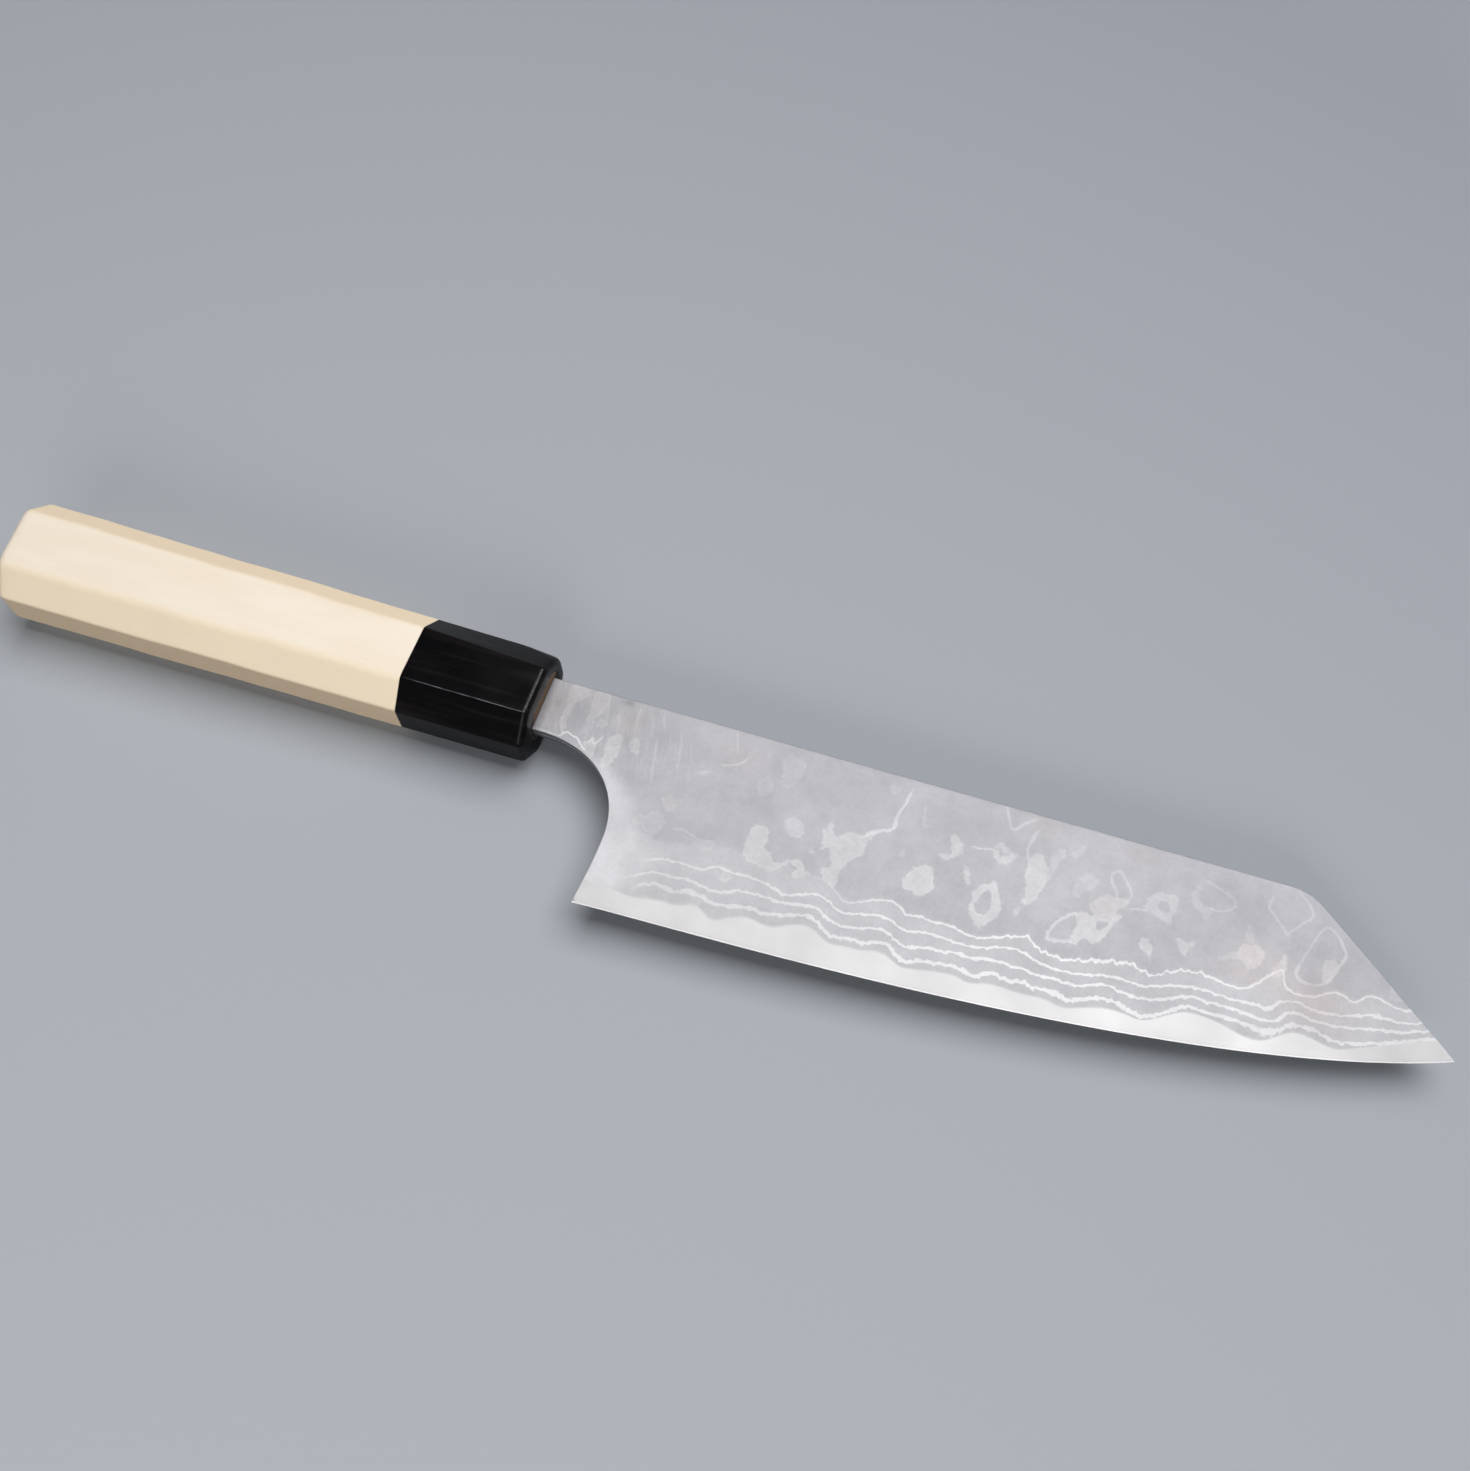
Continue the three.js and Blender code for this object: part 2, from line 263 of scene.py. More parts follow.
def makeDamascus():
    material, tree, surface, spot = newMaterial("etched damascus steel")
    fields = ("layer", "lineScale", "lineShade", "patch", "patchShade", "rim", "rimShade", "wear", "streak",
              "stain", "toneAndPaintedLight")
    field = {key: addNode(tree, "Attribute", {}, "Fac", attribute_name=key) for key in fields}
    # greys of the soft layers: a dark band over the core, lighter between the lines, then the plateau
    count = addNode(tree, "Math", {0: field["layer"], 1: damascus["greyLayers"]}, operation="DIVIDE")
    colour = addNode(tree, "ValToRGB", {"Fac": count})
    ramp = colour.node.color_ramp.elements
    for k, (layer, key) in enumerate(damascus["greys"]):
        position = layer / damascus["greyLayers"]
        stop = ramp[k] if k < len(ramp) else ramp.new(position)
        stop.position = position
        stop.color = linear(damascus[key])
    # mottling from the acid, over the steel's own tone and the painted light of the hills
    shade = addNode(tree, "Math", {0: field["toneAndPaintedLight"], 1: 1.0}, operation="ADD")
    for size, depth in damascus["clouds"]:
        cloud = addNode(tree, "TexNoise", {"Vector": spot, "Scale": perMetre(size), "Detail": 4})
        cloud = addNode(tree, "MapRange", {
            "Value": cloud, **noiseSpan, "To Min": 1 - depth, "To Max": 1 + depth,
        })
        shade = addNode(tree, "Math", {0: shade, 1: cloud}, operation="MULTIPLY")
    # layers cut across, light and dark streaks over the neck
    width, length = damascus["streak"]
    across = addNode(tree, "Mapping", {
        "Vector": spot,
        "Rotation": (0, 0, np.radians(damascus["streakTurn"])),
        "Scale": (width * mm, length * mm, throughSteel * mm),
    }, vector_type="TEXTURE")
    streak = addNode(tree, "TexNoise", {"Vector": across, "Scale": 1, "Detail": 3})
    coats = []
    for start, full, key in damascus["streakShades"]:
        share = addNode(tree, "MapRange", {
            "Value": streak, "From Min": start, "From Max": full, "To Max": damascus["streakDepth"],
        })
        share = addNode(tree, "Math", {0: share, 1: field["streak"]}, operation="MULTIPLY")
        coats.append((share, key))
    # islands where the grind breaks through to the next bright layer
    shore = addNode(tree, "TexNoise", {
        "Vector": spot, "Scale": perMetre(damascus["shore"]), "Detail": 5, "Roughness": 0.68,
    })
    low, high = damascus["shoreSpan"]
    bay = addNode(tree, "MapRange", {
        "Value": shore, "From Min": low, "From Max": high,
        "To Min": -damascus["shoreDepth"], "To Max": damascus["shoreDepth"],
    })
    depth = addNode(tree, "Math", {0: field["patch"], 1: bay}, operation="ADD")
    island = addNode(tree, "MapRange", {
        "Value": depth, "From Min": -damascus["shoreSoft"], "From Max": damascus["shoreSoft"],
    }, interpolation_type="SMOOTHSTEP")
    low, high = damascus["blotchShade"]
    blotch = addNode(tree, "TexNoise", {"Vector": spot, "Scale": perMetre(damascus["blotch"]), "Detail": 4})
    blotch = addNode(tree, "MapRange", {"Value": blotch, **noiseSpan, "To Min": low, "To Max": high})
    blotch = addNode(tree, "Math", {0: blotch, 1: field["patchShade"]}, operation="MULTIPLY")
    island = addNode(tree, "Math", {0: island, 1: blotch}, operation="MULTIPLY")
    # whiter rims where it only just breaks through, and whiter shores
    full, none = damascus["rimSoft"]
    rim = addNode(tree, "Math", {0: bay, 1: damascus["rimBays"], 2: field["rim"]}, operation="MULTIPLY_ADD")
    rim = addNode(tree, "Math", {0: rim}, operation="ABSOLUTE")
    rim = addNode(tree, "MapRange", {
        "Value": rim, "From Min": none, "From Max": full, "To Max": damascus["whiteRim"],
    }, interpolation_type="SMOOTHSTEP")
    rim = addNode(tree, "Math", {0: rim, 1: field["rimShade"]}, operation="MULTIPLY")
    full, none = damascus["whiteSoft"]
    edge = addNode(tree, "Math", {0: depth, 1: damascus["whiteAt"]}, operation="SUBTRACT")
    edge = addNode(tree, "Math", {0: edge}, operation="ABSOLUTE")
    edge = addNode(tree, "MapRange", {
        "Value": edge, "From Min": none, "From Max": full, "To Max": damascus["whiteShore"],
    })
    edge = addNode(tree, "Math", {0: edge, 1: blotch}, operation="MULTIPLY")
    edge = addNode(tree, "Math", {0: edge, 1: rim}, operation="MAXIMUM")
    # bright lines that waver, in places thicker or thinner
    uneven = {}
    for key in ("waver", "lineGrain"):
        size, detail, reach = damascus[key]
        noise = addNode(tree, "TexNoise", {"Vector": spot, "Scale": perMetre(size), "Detail": detail})
        uneven[key] = addNode(tree, "MapRange", {
            "Value": noise, **noiseSpan, "To Min": -reach, "To Max": reach,
        })
    nearest = addNode(tree, "Math", {0: field["layer"]}, operation="ROUND")
    nearest = addNode(tree, "Math", {0: nearest, 1: 1.0}, operation="MAXIMUM")
    gap = addNode(tree, "Math", {0: field["layer"], 1: nearest}, operation="SUBTRACT")
    gap = addNode(tree, "Math", {0: gap, 1: field["lineScale"], 2: uneven["waver"]}, operation="MULTIPLY_ADD")
    gap = addNode(tree, "Math", {0: gap}, operation="ABSOLUTE")
    gap = addNode(tree, "Math", {0: gap, 1: uneven["lineGrain"]}, operation="ADD")
    line = addNode(tree, "MapRange", {
        "Value": gap, "From Min": 1 + damascus["lineSoft"], "From Max": 1 - damascus["lineSoft"],
    }, interpolation_type="SMOOTHSTEP")
    line = addNode(tree, "Math", {0: line, 1: field["lineShade"]}, operation="MULTIPLY")
    # warm stains, broken up
    low, high = damascus["stainShade"]
    stain = addNode(tree, "MapRange", {"Value": shore, **noiseSpan, "To Min": low, "To Max": high})
    stain = addNode(tree, "Math", {0: stain, 1: field["stain"]}, operation="MULTIPLY")
    # all of it over the greys, one coat after the other, the last one rubbed bright beside the choil
    coats += [(island, "island"), (edge, "line"), (line, "line")]
    coats += [(stain, "warm"), (field["wear"], "polished")]
    for share, key in coats:
        colour = addNode(tree, "Mix", {0: share, 6: colour, 7: linear(damascus[key])}, 2, data_type="RGBA")
    colour = addNode(tree, "Mix", {0: 1.0, 6: colour, 7: shade}, 2, data_type="RGBA", blend_type="MULTIPLY")
    # marks of the stone run from spine to edge
    width, length = damascus["scratch"]
    across = addNode(tree, "Mapping", {"Vector": spot, "Scale": perMetre(width, length, throughSteel)})
    scratch = addNode(tree, "TexNoise", {"Vector": across, "Scale": 1, "Detail": 3})
    bright = addNode(tree, "Math", {0: island, 1: edge}, operation="MAXIMUM")
    bright = addNode(tree, "Math", {0: line, 1: bright}, operation="MAXIMUM")
    etched, spared = damascus["roughness"]
    gloss = addNode(tree, "MapRange", {"Value": bright, "To Min": etched, "To Max": spared})
    dulled = {0: scratch, 1: damascus["scratchGloss"], 2: gloss}
    gloss = addNode(tree, "Math", dulled, operation="MULTIPLY_ADD")
    marked = {0: scratch, 1: damascus["scratchDepth"], 2: bright}
    relief = addNode(tree, "Math", marked, operation="MULTIPLY_ADD")
    bump = addNode(tree, "Bump", {"Height": relief, "Strength": 0.1, "Distance": damascus["etching"] * mm})
    feed(tree, surface, {"Base Color": colour, "Roughness": gloss, "Normal": bump, "Metallic": 1})
    return material


# Core: hard carbon steel, hazy from a fine stone
coreFinish = {
    "steel": "#a8a7a8",
    "haze": "#a4a3a4",
    "cloud": 12,            # mm
    "scratch": (0.3, 9),    # mm
    "scratchHaze": 0.15,    # how much of the haze the scratches make
    "hazeSpan": (0.4, 0.75),
    "scratchDepth": 0.01,   # mm
    "roughness": (0.49, 0.52),
}


def makeCoreSteel():
    material, tree, surface, spot = newMaterial("hazy core steel")
    cloud = addNode(tree, "TexNoise", {"Vector": spot, "Scale": perMetre(coreFinish["cloud"]), "Detail": 3})
    width, length = coreFinish["scratch"]
    across = addNode(tree, "Mapping", {"Vector": spot, "Scale": perMetre(width, length, throughSteel)})
    scratch = addNode(tree, "TexNoise", {"Vector": across, "Scale": 1, "Detail": 3})
    clouded = {0: scratch, 1: coreFinish["scratchHaze"], 2: cloud}
    haze = addNode(tree, "Math", clouded, operation="MULTIPLY_ADD")
    low, high = coreFinish["hazeSpan"]
    haze = addNode(tree, "MapRange", {"Value": haze, "From Min": low, "From Max": high})
    steel, hazy = linear(coreFinish["steel"]), linear(coreFinish["haze"])
    colour = addNode(tree, "Mix", {0: haze, 6: steel, 7: hazy}, 2, data_type="RGBA")
    # painted light from the hills, the painted glint along the edge bevel and painted shade on the choil's
    # wall
    toneAndPaintedLight = addNode(tree, "Attribute", {}, "Fac", attribute_name="toneAndPaintedLight")
    shade = addNode(tree, "Math", {0: toneAndPaintedLight, 1: 1.0}, operation="ADD")
    colour = addNode(tree, "Mix", {0: 1.0, 6: colour, 7: shade}, 2, data_type="RGBA", blend_type="MULTIPLY")
    clear, dull = coreFinish["roughness"]
    gloss = addNode(tree, "MapRange", {"Value": haze, "To Min": clear, "To Max": dull})
    depth = coreFinish["scratchDepth"] * mm
    bump = addNode(tree, "Bump", {"Height": scratch, "Strength": 0.04, "Distance": depth})
    feed(tree, surface, {"Base Color": colour, "Roughness": gloss, "Normal": bump, "Metallic": 1})
    return material


# Buffalo horn: near black, faint grey-brown streaks along the growth, a dull polish, a painted highlight in
# grey along the arrises
hornFinish = {
    "black": "#0b0a0c",
    "streak": "#1a1717",
    # painted highlight along the arrises
    "worn": "#75757a",
    "growth": (26, 1.6),    # mm, length and width of a streak
    "growthSpan": (0.48, 0.72),
    "growthDepth": 0.05,    # mm
    "glintBreak": (3, 0.4),       # mm, length and width of the breaks in the painted highlight on the arrises
    "glintBreakSpan": (0.35, 0.6),
    "leastGlint": 0.25,
    "smear": 7,             # mm, uneven polish
    "roughness": (0.14, 0.24),
    "sanding": 0.1,         # roughness that the sanded end has on top
    "ior": 1.54,
    "specular": 0.055,
}


def makeHorn():
    material, tree, surface, spot = newMaterial("polished black horn")
    noise = {}
    for key in ("growth", "glintBreak"):
        length, width = hornFinish[key]
        along = addNode(tree, "Mapping", {"Vector": spot, "Scale": perMetre(length, width, width)})
        noise[key] = addNode(tree, "TexNoise", {"Vector": along, "Scale": 1, "Detail": 5})
    field = {key: addNode(tree, "Attribute", {}, "Fac", attribute_name=key) for key in ("sanded", "worn")}
    low, high = hornFinish["growthSpan"]
    share = addNode(tree, "MapRange", {"Value": noise["growth"], "From Min": low, "From Max": high})
    black, streak = linear(hornFinish["black"]), linear(hornFinish["streak"])
    colour = addNode(tree, "Mix", {0: share, 6: black, 7: streak}, 2, data_type="RGBA")
    # painted highlight along the arrises, broken up in places
    low, high = hornFinish["glintBreakSpan"]
    worn = addNode(tree, "MapRange", {
        "Value": noise["glintBreak"], "From Min": low, "From Max": high, "To Min": hornFinish["leastGlint"],
    })
    worn = addNode(tree, "Math", {0: worn, 1: field["worn"]}, operation="MULTIPLY")
    colour = addNode(tree, "Mix", {0: worn, 6: colour, 7: linear(hornFinish["worn"])}, 2, data_type="RGBA")
    smear = addNode(tree, "TexNoise", {"Vector": spot, "Scale": perMetre(hornFinish["smear"]), "Detail": 3})
    best, worst = hornFinish["roughness"]
    gloss = addNode(tree, "MapRange", {"Value": smear, **noiseSpan, "To Min": best, "To Max": worst})
    sanding = {0: field["sanded"], 1: hornFinish["sanding"], 2: gloss}
    gloss = addNode(tree, "Math", sanding, operation="MULTIPLY_ADD")
    depth = hornFinish["growthDepth"] * mm
    bump = addNode(tree, "Bump", {"Height": noise["growth"], "Strength": 0.05, "Distance": depth})
    feed(tree, surface, {
        "Base Color": colour, "Roughness": gloss, "Normal": bump,
        "IOR": hornFinish["ior"], "Specular IOR Level": hornFinish["specular"],
    })
    return material


# Magnolia: pale cream, straight and very fine grained, sanded and left bare; the chamfers painted warmer and
# paler as painted light, the narrow sides and a little of the far chamfers painted darker as painted shade
woodFinish = {
    "pale": "#f3e7d7",
    "dark": "#eee0cb",
    # these two are painted light and painted shade: the chamfers warmer and paler, the narrow sides darker
    "side": "#fdebce",      # the chamfers
    "shadedSides": "#e0c8a8",      # the narrow sides
    "pore": "#d3bd9b",
    "grain": (70, 1.6),     # mm, length and width
    "cloud": (22, 6),       # mm
    "pores": (3, 0.22),     # mm
    "grainShare": 0.4,      # of the grain in the figure, on top of the clouds
    "figureSpan": (0.5, 0.95),
    "poreSpan": (0.6, 0.8),
    "poreShade": 0.25,
    "poreDepth": 0.04,      # mm
    "roughness": (0.5, 0.66),
    "ior": 1.5,
    "specular": 0.3,
}


def makePaleWood():
    material, tree, surface, spot = newMaterial("bare magnolia wood")
    noise = {}
    for key in ("grain", "cloud", "pores"):
        length, width = woodFinish[key]
        along = addNode(tree, "Mapping", {"Vector": spot, "Scale": perMetre(length, width, width)})
        noise[key] = addNode(tree, "TexNoise", {"Vector": along, "Scale": 1, "Detail": 4})
    grained = {0: noise["grain"], 1: woodFinish["grainShare"], 2: noise["cloud"]}
    figure = addNode(tree, "Math", grained, operation="MULTIPLY_ADD")
    low, high = woodFinish["figureSpan"]
    figure = addNode(tree, "MapRange", {"Value": figure, "From Min": low, "From Max": high})
    pale, dark = linear(woodFinish["pale"]), linear(woodFinish["dark"])
    colour = addNode(tree, "Mix", {0: figure, 6: pale, 7: dark}, 2, data_type="RGBA")
    # painted light on the chamfers, and painted shade on the narrow sides and, less, on the far chamfers
    for key in ("side", "shadedSides"):
        share = addNode(tree, "Attribute", {}, "Fac", attribute_name=key)
        colour = addNode(tree, "Mix", {0: share, 6: colour, 7: linear(woodFinish[key])}, 2, data_type="RGBA")
    low, high = woodFinish["poreSpan"]
    pore = addNode(tree, "MapRange", {
        "Value": noise["pores"], "From Min": low, "From Max": high, "To Max": woodFinish["poreShade"],
    })
    colour = addNode(tree, "Mix", {0: pore, 6: colour, 7: linear(woodFinish["pore"])}, 2, data_type="RGBA")
    best, worst = woodFinish["roughness"]
    gloss = addNode(tree, "MapRange", {"Value": noise["grain"], "To Min": best, "To Max": worst})
    depth = woodFinish["poreDepth"] * mm
    bump = addNode(tree, "Bump", {"Height": noise["pores"], "Strength": 0.1, "Distance": depth})
    feed(tree, surface, {
        "Base Color": colour, "Roughness": gloss, "Normal": bump,
        "IOR": woodFinish["ior"], "Specular IOR Level": woodFinish["specular"],
    })
    return material


# Tenon: end grain, near black beside the tang and at its low end
tenonFinish = {
    "brown": "#8a6a49",
    "darkened": "#1d130d",
    "fibre": 0.5,           # mm
    "fibreShade": 0.7,
    "fibreDepth": 0.1,      # mm
    "beside": (1.6, 3.4),   # mm from the tang's middle plane, between which the darkening fades
    "low": (-5.5, -2),      # mm, y between which it fades
    "roughness": 0.8,
}


def makeDarkenedEndGrain():
    material, tree, surface, spot = newMaterial("scorched end grain")
    fibre = addNode(tree, "TexNoise", {
        "Vector": spot, "Scale": perMetre(tenonFinish["fibre"]), "Detail": 4, "Roughness": 0.7,
    })
    origin = tuple(knifeOrigin * mm)
    fromKnife = addNode(tree, "VectorMath", {0: spot, 1: origin}, "Vector", operation="SUBTRACT")
    away = addNode(tree, "SeparateXYZ", {0: fromKnife}, "Z")
    up = addNode(tree, "SeparateXYZ", {0: fromKnife}, "Y")
    away = addNode(tree, "Math", {0: away}, operation="ABSOLUTE")
    share = addNode(tree, "MapRange", {"Value": fibre, **noiseSpan, "To Max": tenonFinish["fibreShade"]})
    for way, (full, none) in ((away, tenonFinish["beside"]), (up, tenonFinish["low"])):
        darkening = addNode(tree, "MapRange", {"Value": way, "From Min": none * mm, "From Max": full * mm})
        share = addNode(tree, "Math", {0: share, 1: darkening}, operation="MAXIMUM")
    brown, darkened = linear(tenonFinish["brown"]), linear(tenonFinish["darkened"])
    colour = addNode(tree, "Mix", {0: share, 6: brown, 7: darkened}, 2, data_type="RGBA")
    depth = tenonFinish["fibreDepth"] * mm
    bump = addNode(tree, "Bump", {"Height": fibre, "Strength": 0.3, "Distance": depth})
    feed(tree, surface, {"Base Color": colour, "Normal": bump, "Roughness": tenonFinish["roughness"]})
    return material


damascusSteel = makeDamascus()
coreSteel = makeCoreSteel()
blackHorn = makeHorn()
paleWood = makePaleWood()
darkenedEndGrain = makeDarkenedEndGrain()
print("materials made")

# Blade outline and section, in millimetres
blade = {
    "neckTop": 7.1,
    "neckBottom": -5.8,
    "neckStraight": 2,
    "heel": (21.2, -39),
    "choil": (22.5, -24),
    "choilNeckReach": 12.5,
    "choilFrontReach": 10.5,
    "choilHeelReach": 6,
    "tip": (192, -17.2),
    "corner": (161.3, 8.6),
    "cornerRound": 4,
    "heelReach": 13.3,
    "heelRise": 1.4,
    "bellyReach": 52.4,
    "bellyDrop": 20.4,
    "tangLength": 95,
    "tangEndTop": 3.4,
    "tangEndBottom": -2.6,
    "tangEndThickness": 2.2,
    "neckThickness": 3.0,
    "cornerThickness": 1.5,
    "tipThickness": 1.0,
    "spineFlat": 3,
    "tipGrind": 13,
    "grindPower": 1.4,
    "bevelHeight": 0.4,
    "bevelThickness": 0.18,
    "edgeThickness": 0.08,
    "eased": 0.1,           # round on the spine's and the choil's edges
    "seam": 0.01,
    "fanReach": 9.8,        # how far the sections lean over the heel
    "fanFade": 50,
    "tipShort": 0.15,       # from the last section to the tip
    "leastCladding": 0.3,   # height under which there is none
    "easedShare": 0.4,      # of the half thickness, at most
    "tangSwell": 0.3,       # by how much more of itself the core thickens towards the tang
}
curveSteps = {"edge": 600, "corner": 24, "choil": 80, "heel": 44}
heelX, heelY = blade["heel"]
choilX, choilY = blade["choil"]
tipX, tipY = blade["tip"]
cornerX, cornerY = blade["corner"]

# cutting edge: a cubic curve from heel to tip, looked up by x
edgePath = bezier([
    (heelX, heelY),
    (heelX + blade["heelReach"], heelY + blade["heelRise"]),
    (tipX - blade["bellyReach"], tipY - blade["bellyDrop"]),
    (tipX, tipY),
], np.linspace(0, 1, curveSteps["edge"]))

# back of the blade: tang, neck, spine, rounded corner and clip, looked up by x
towardsNeck = np.array([-cornerX, blade["neckTop"] - cornerY]) / np.hypot(cornerX, blade["neckTop"] - cornerY)
towardsTip = np.array([tipX - cornerX, tipY - cornerY]) / np.hypot(tipX - cornerX, tipY - cornerY)
cornerPath = bezier([
    np.array(blade["corner"]) + blade["cornerRound"] * towardsNeck,
    blade["corner"],
    np.array(blade["corner"]) + blade["cornerRound"] * towardsTip,
], np.linspace(0, 1, curveSteps["corner"]))
backPath = np.vstack([
    (-blade["tangLength"], blade["tangEndTop"]),
    (0, blade["neckTop"]),
    cornerPath,
    (tipX, tipY),
])

# front of the neck, the choil and the heel
choilPath = np.vstack([
    bezier([
        (blade["neckStraight"], blade["neckBottom"]),
        (blade["neckStraight"] + blade["choilNeckReach"], blade["neckBottom"]),
        (choilX, choilY + blade["choilFrontReach"]),
        (choilX, choilY),
    ], np.linspace(0, 1, curveSteps["choil"])),
    bezier([
        (choilX, choilY),
        (choilX, choilY - blade["choilHeelReach"]),
        (heelX, heelY),
    ], np.linspace(0, 1, curveSteps["heel"])[1:]),
])


# y of the cutting edge at x, straight between the points of its path
def edgeHeight(x):
    return np.interp(x, edgePath[:, 0], edgePath[:, 1])


# y of the back at x, in the same way
def backHeight(x):
    return np.interp(x, backPath[:, 0], backPath[:, 1])


# half the thickness at x, y: a straight bevel at the edge, then b + (s - b)(1 - (1 - u)^power) up the ground
# face, u being the share of the grind's height, then flat to the spine
def halfThickness(x, y):
    spineHalf = np.interp(
        x,
        [-blade["tangLength"], 0, cornerX, tipX],
        [blade["tangEndThickness"], blade["neckThickness"], blade["cornerThickness"], blade["tipThickness"]],
    ) / 2
    spine = mixed(blade["neckTop"], cornerY, np.minimum(x, cornerX) / cornerX)
    pastCorner = np.clip((x - cornerX) / (tipX - cornerX), 0, 1)
    grind = mixed(spine - edgeHeight(x) - blade["spineFlat"], blade["tipGrind"], pastCorner)
    rise = y - edgeHeight(x)
    bevelHalf = blade["bevelThickness"] / 2
    up = np.clip((rise - blade["bevelHeight"]) / (grind - blade["bevelHeight"]), 0, 1)
    ground = mixed(bevelHalf, spineHalf, 1 - (1 - up) ** blade["grindPower"])
    bevel = mixed(blade["edgeThickness"] / 2, bevelHalf, np.clip(rise / blade["bevelHeight"], 0, 1))
    return np.where(rise < blade["bevelHeight"], bevel, ground)


# Layers where the grind lays them open, each a wavy line of x, y in millimetres: the core's top, then four
# bright layers. Forging makes them wander together.
layerLines = [
    [(22, -33.6), (33, -34.5), (35.5, -33.6), (42, -33.4), (44, -32.3), (46, -32.3), (48.5, -34.3),
     (50, -34.1), (53, -32.1), (56, -31.3), (60.5, -32.2), (64, -30.4), (66, -29.6), (68.5, -29.5),
     (72.5, -31.8), (75.5, -31.1), (79, -31.1), (83, -29.8), (87, -32), (90, -31.4), (97.5, -30),
     (100.5, -31.1), (104.5, -29.5), (110, -29.9), (115, -29.3), (119, -30.2), (122, -29), (127, -27.4),
     (130.5, -27.4), (133, -27.8), (135, -27.4), (139, -24.8), (142, -23.2), (147.5, -23.4), (152, -24.7),
     (155, -24.9), (157.5, -24.2), (161, -21.3), (163.5, -20.9), (168, -21.7), (170.5, -22), (177, -19),
     (188, -14.2)],
    [(22, -31.6), (31, -33), (33, -31.5), (35.5, -30.1), (40.5, -30.9), (43, -29.3), (49, -31), (55.5, -29),
     (58, -29.7), (63, -28.5), (67, -27), (69, -27.8), (71, -29.3), (73.5, -30), (76.5, -29), (79, -29.5),
     (83, -27.6), (85, -29), (87.5, -30.9), (89.5, -29.4), (98.5, -28.1), (101, -29.7), (104, -27.1),
     (108, -28.2), (110.5, -27.1), (113, -28), (116, -27.2), (120, -28.4), (122, -27), (127, -25.3),
     (132.5, -27), (135, -26.7), (139.5, -23.6), (142, -22), (144, -22.4), (149, -22), (155, -22.3),
     (157, -23), (160, -21), (161, -19.7), (163.5, -19.3), (167, -19.5), (169.5, -20.8), (178, -18.2),
     (188, -13.9)],
    [(22, -28.4), (27, -29.3), (28.5, -30.9), (30.5, -30.5), (34.5, -27.8), (39.5, -27.9), (42, -27.1),
     (47, -28.4), (50, -27.6), (53, -26.1), (60.5, -26.3), (63, -26), (68, -24.9), (70, -26.2), (73, -27.4),
     (77, -26.8), (81, -25.3), (83, -25.7), (87, -27.9), (91.5, -26), (94, -26.5), (97, -25.3), (99, -26),
     (104, -24.6), (108.5, -25), (110, -24.5), (112.5, -25.3), (115, -24.7), (120.5, -25.1), (126, -22.6),
     (128.5, -23.4), (134.5, -23.6), (142, -19.9), (144.5, -20.3), (148.5, -19.9), (157, -20.5),
     (159, -19.5), (160, -17.8), (162, -16.8), (164.5, -17.6), (170.5, -17.4), (177, -15.5), (181, -15),
     (187, -12.6)],
    [(22, -26.1), (27, -26.1), (29, -26.8), (31, -26.5), (35, -24.9), (40, -24.3), (44, -24.9),
     (46.5, -22.6), (50, -23.4), (54, -22.9), (59, -23.8), (61.5, -24.9), (66.5, -22.4), (69.5, -22.6),
     (73, -24.9), (77, -23.6), (82, -22.5), (86, -24.7), (90, -23.2), (99.5, -23.8), (106, -21.3),
     (109.5, -21.3), (111.5, -22.4), (116.5, -23), (122, -22.2), (127, -20.7), (133, -21.1), (135, -20.2),
     (142, -17.9), (150.5, -18.3), (154, -17.8), (157, -18.2), (158.5, -15.8), (161, -14.9), (163.5, -15.1),
     (165.5, -15.7), (171, -14.9), (174, -13.6), (177, -12.8), (182.5, -13), (186, -11)],
    [(22, -23.4), (26.5, -21.8), (29.5, -21.1), (31, -22), (40, -21), (45, -19.4), (49, -18.2), (51, -19.7),
     (56, -20.9), (58, -19.7), (60, -17.7), (62, -20.5), (65.5, -18.8), (69.5, -19.5), (72, -21.7),
     (74, -22.4), (76, -21.3), (81, -19), (84, -19.7), (85.5, -21.3), (87.5, -20.5), (92, -20.9),
     (94, -20.4), (99.5, -21.8), (105, -19.5), (110, -17.8), (112, -20.3), (114.5, -20.1), (117, -20.7),
     (122, -19), (130.5, -17), (132.5, -18.2), (135, -18.2), (138, -15.9), (143, -14.7), (149.5, -15.9),
     (152.5, -15.1), (155, -12.2), (157.5, -9.8), (158.5, -9), (159, -12.6), (160, -13.2), (164, -13.4),
     (167.5, -11.1), (169.5, -10.5), (172.5, -12), (174.5, -9.3), (177, -9.3), (181, -10.6), (185, -9)],
]
# Bright layers: half widths of the lines, the x between which each fades in from the heel, how dull they
# are at some x, and where one swells, as line, x, half length and how many times its width; in millimetres
brightLines = {
    "half": (0.36, 0.28, 0.24, 0.22),
    "faint": (31, 27, 28, 60),
    "full": (33.5, 32, 36, 88),
    "dull": ([40, 60, 80, 95, 112, 130, 148, 165], [0.5, 0.58, 0.75, 0.8, 1, 0.88, 0.75, 0.7]),
    "swells": [
        (1, 157.6, 2.2, 2.2), (1, 41.8, 2, 1.4), (1, 117, 4, 1.5), (1, 130.5, 2, 1.4), (2, 101, 1.5, 1.3),
        (3, 156.4, 1, 1.7), (3, 177, 0.8, 2.2), (4, 125, 4, 1.6),
    ],
}
roundedLines = [smoothed(knots, False) for knots in layerLines]
lineTremble = {
    "height": 0.05,         # mm
    "waves": (1.3, 2.1, 3.4),   # mm
    "phase": 1.7,
    "ragged": (103, 107, 142, 147),   # mm, x between which the last line grows ragged, and smooth again
    "times": 3.5,           # as high there
}
plateau = {"rise": 1.4, "layers": 0.5}   # mm and layers that the steel still rises over the last line


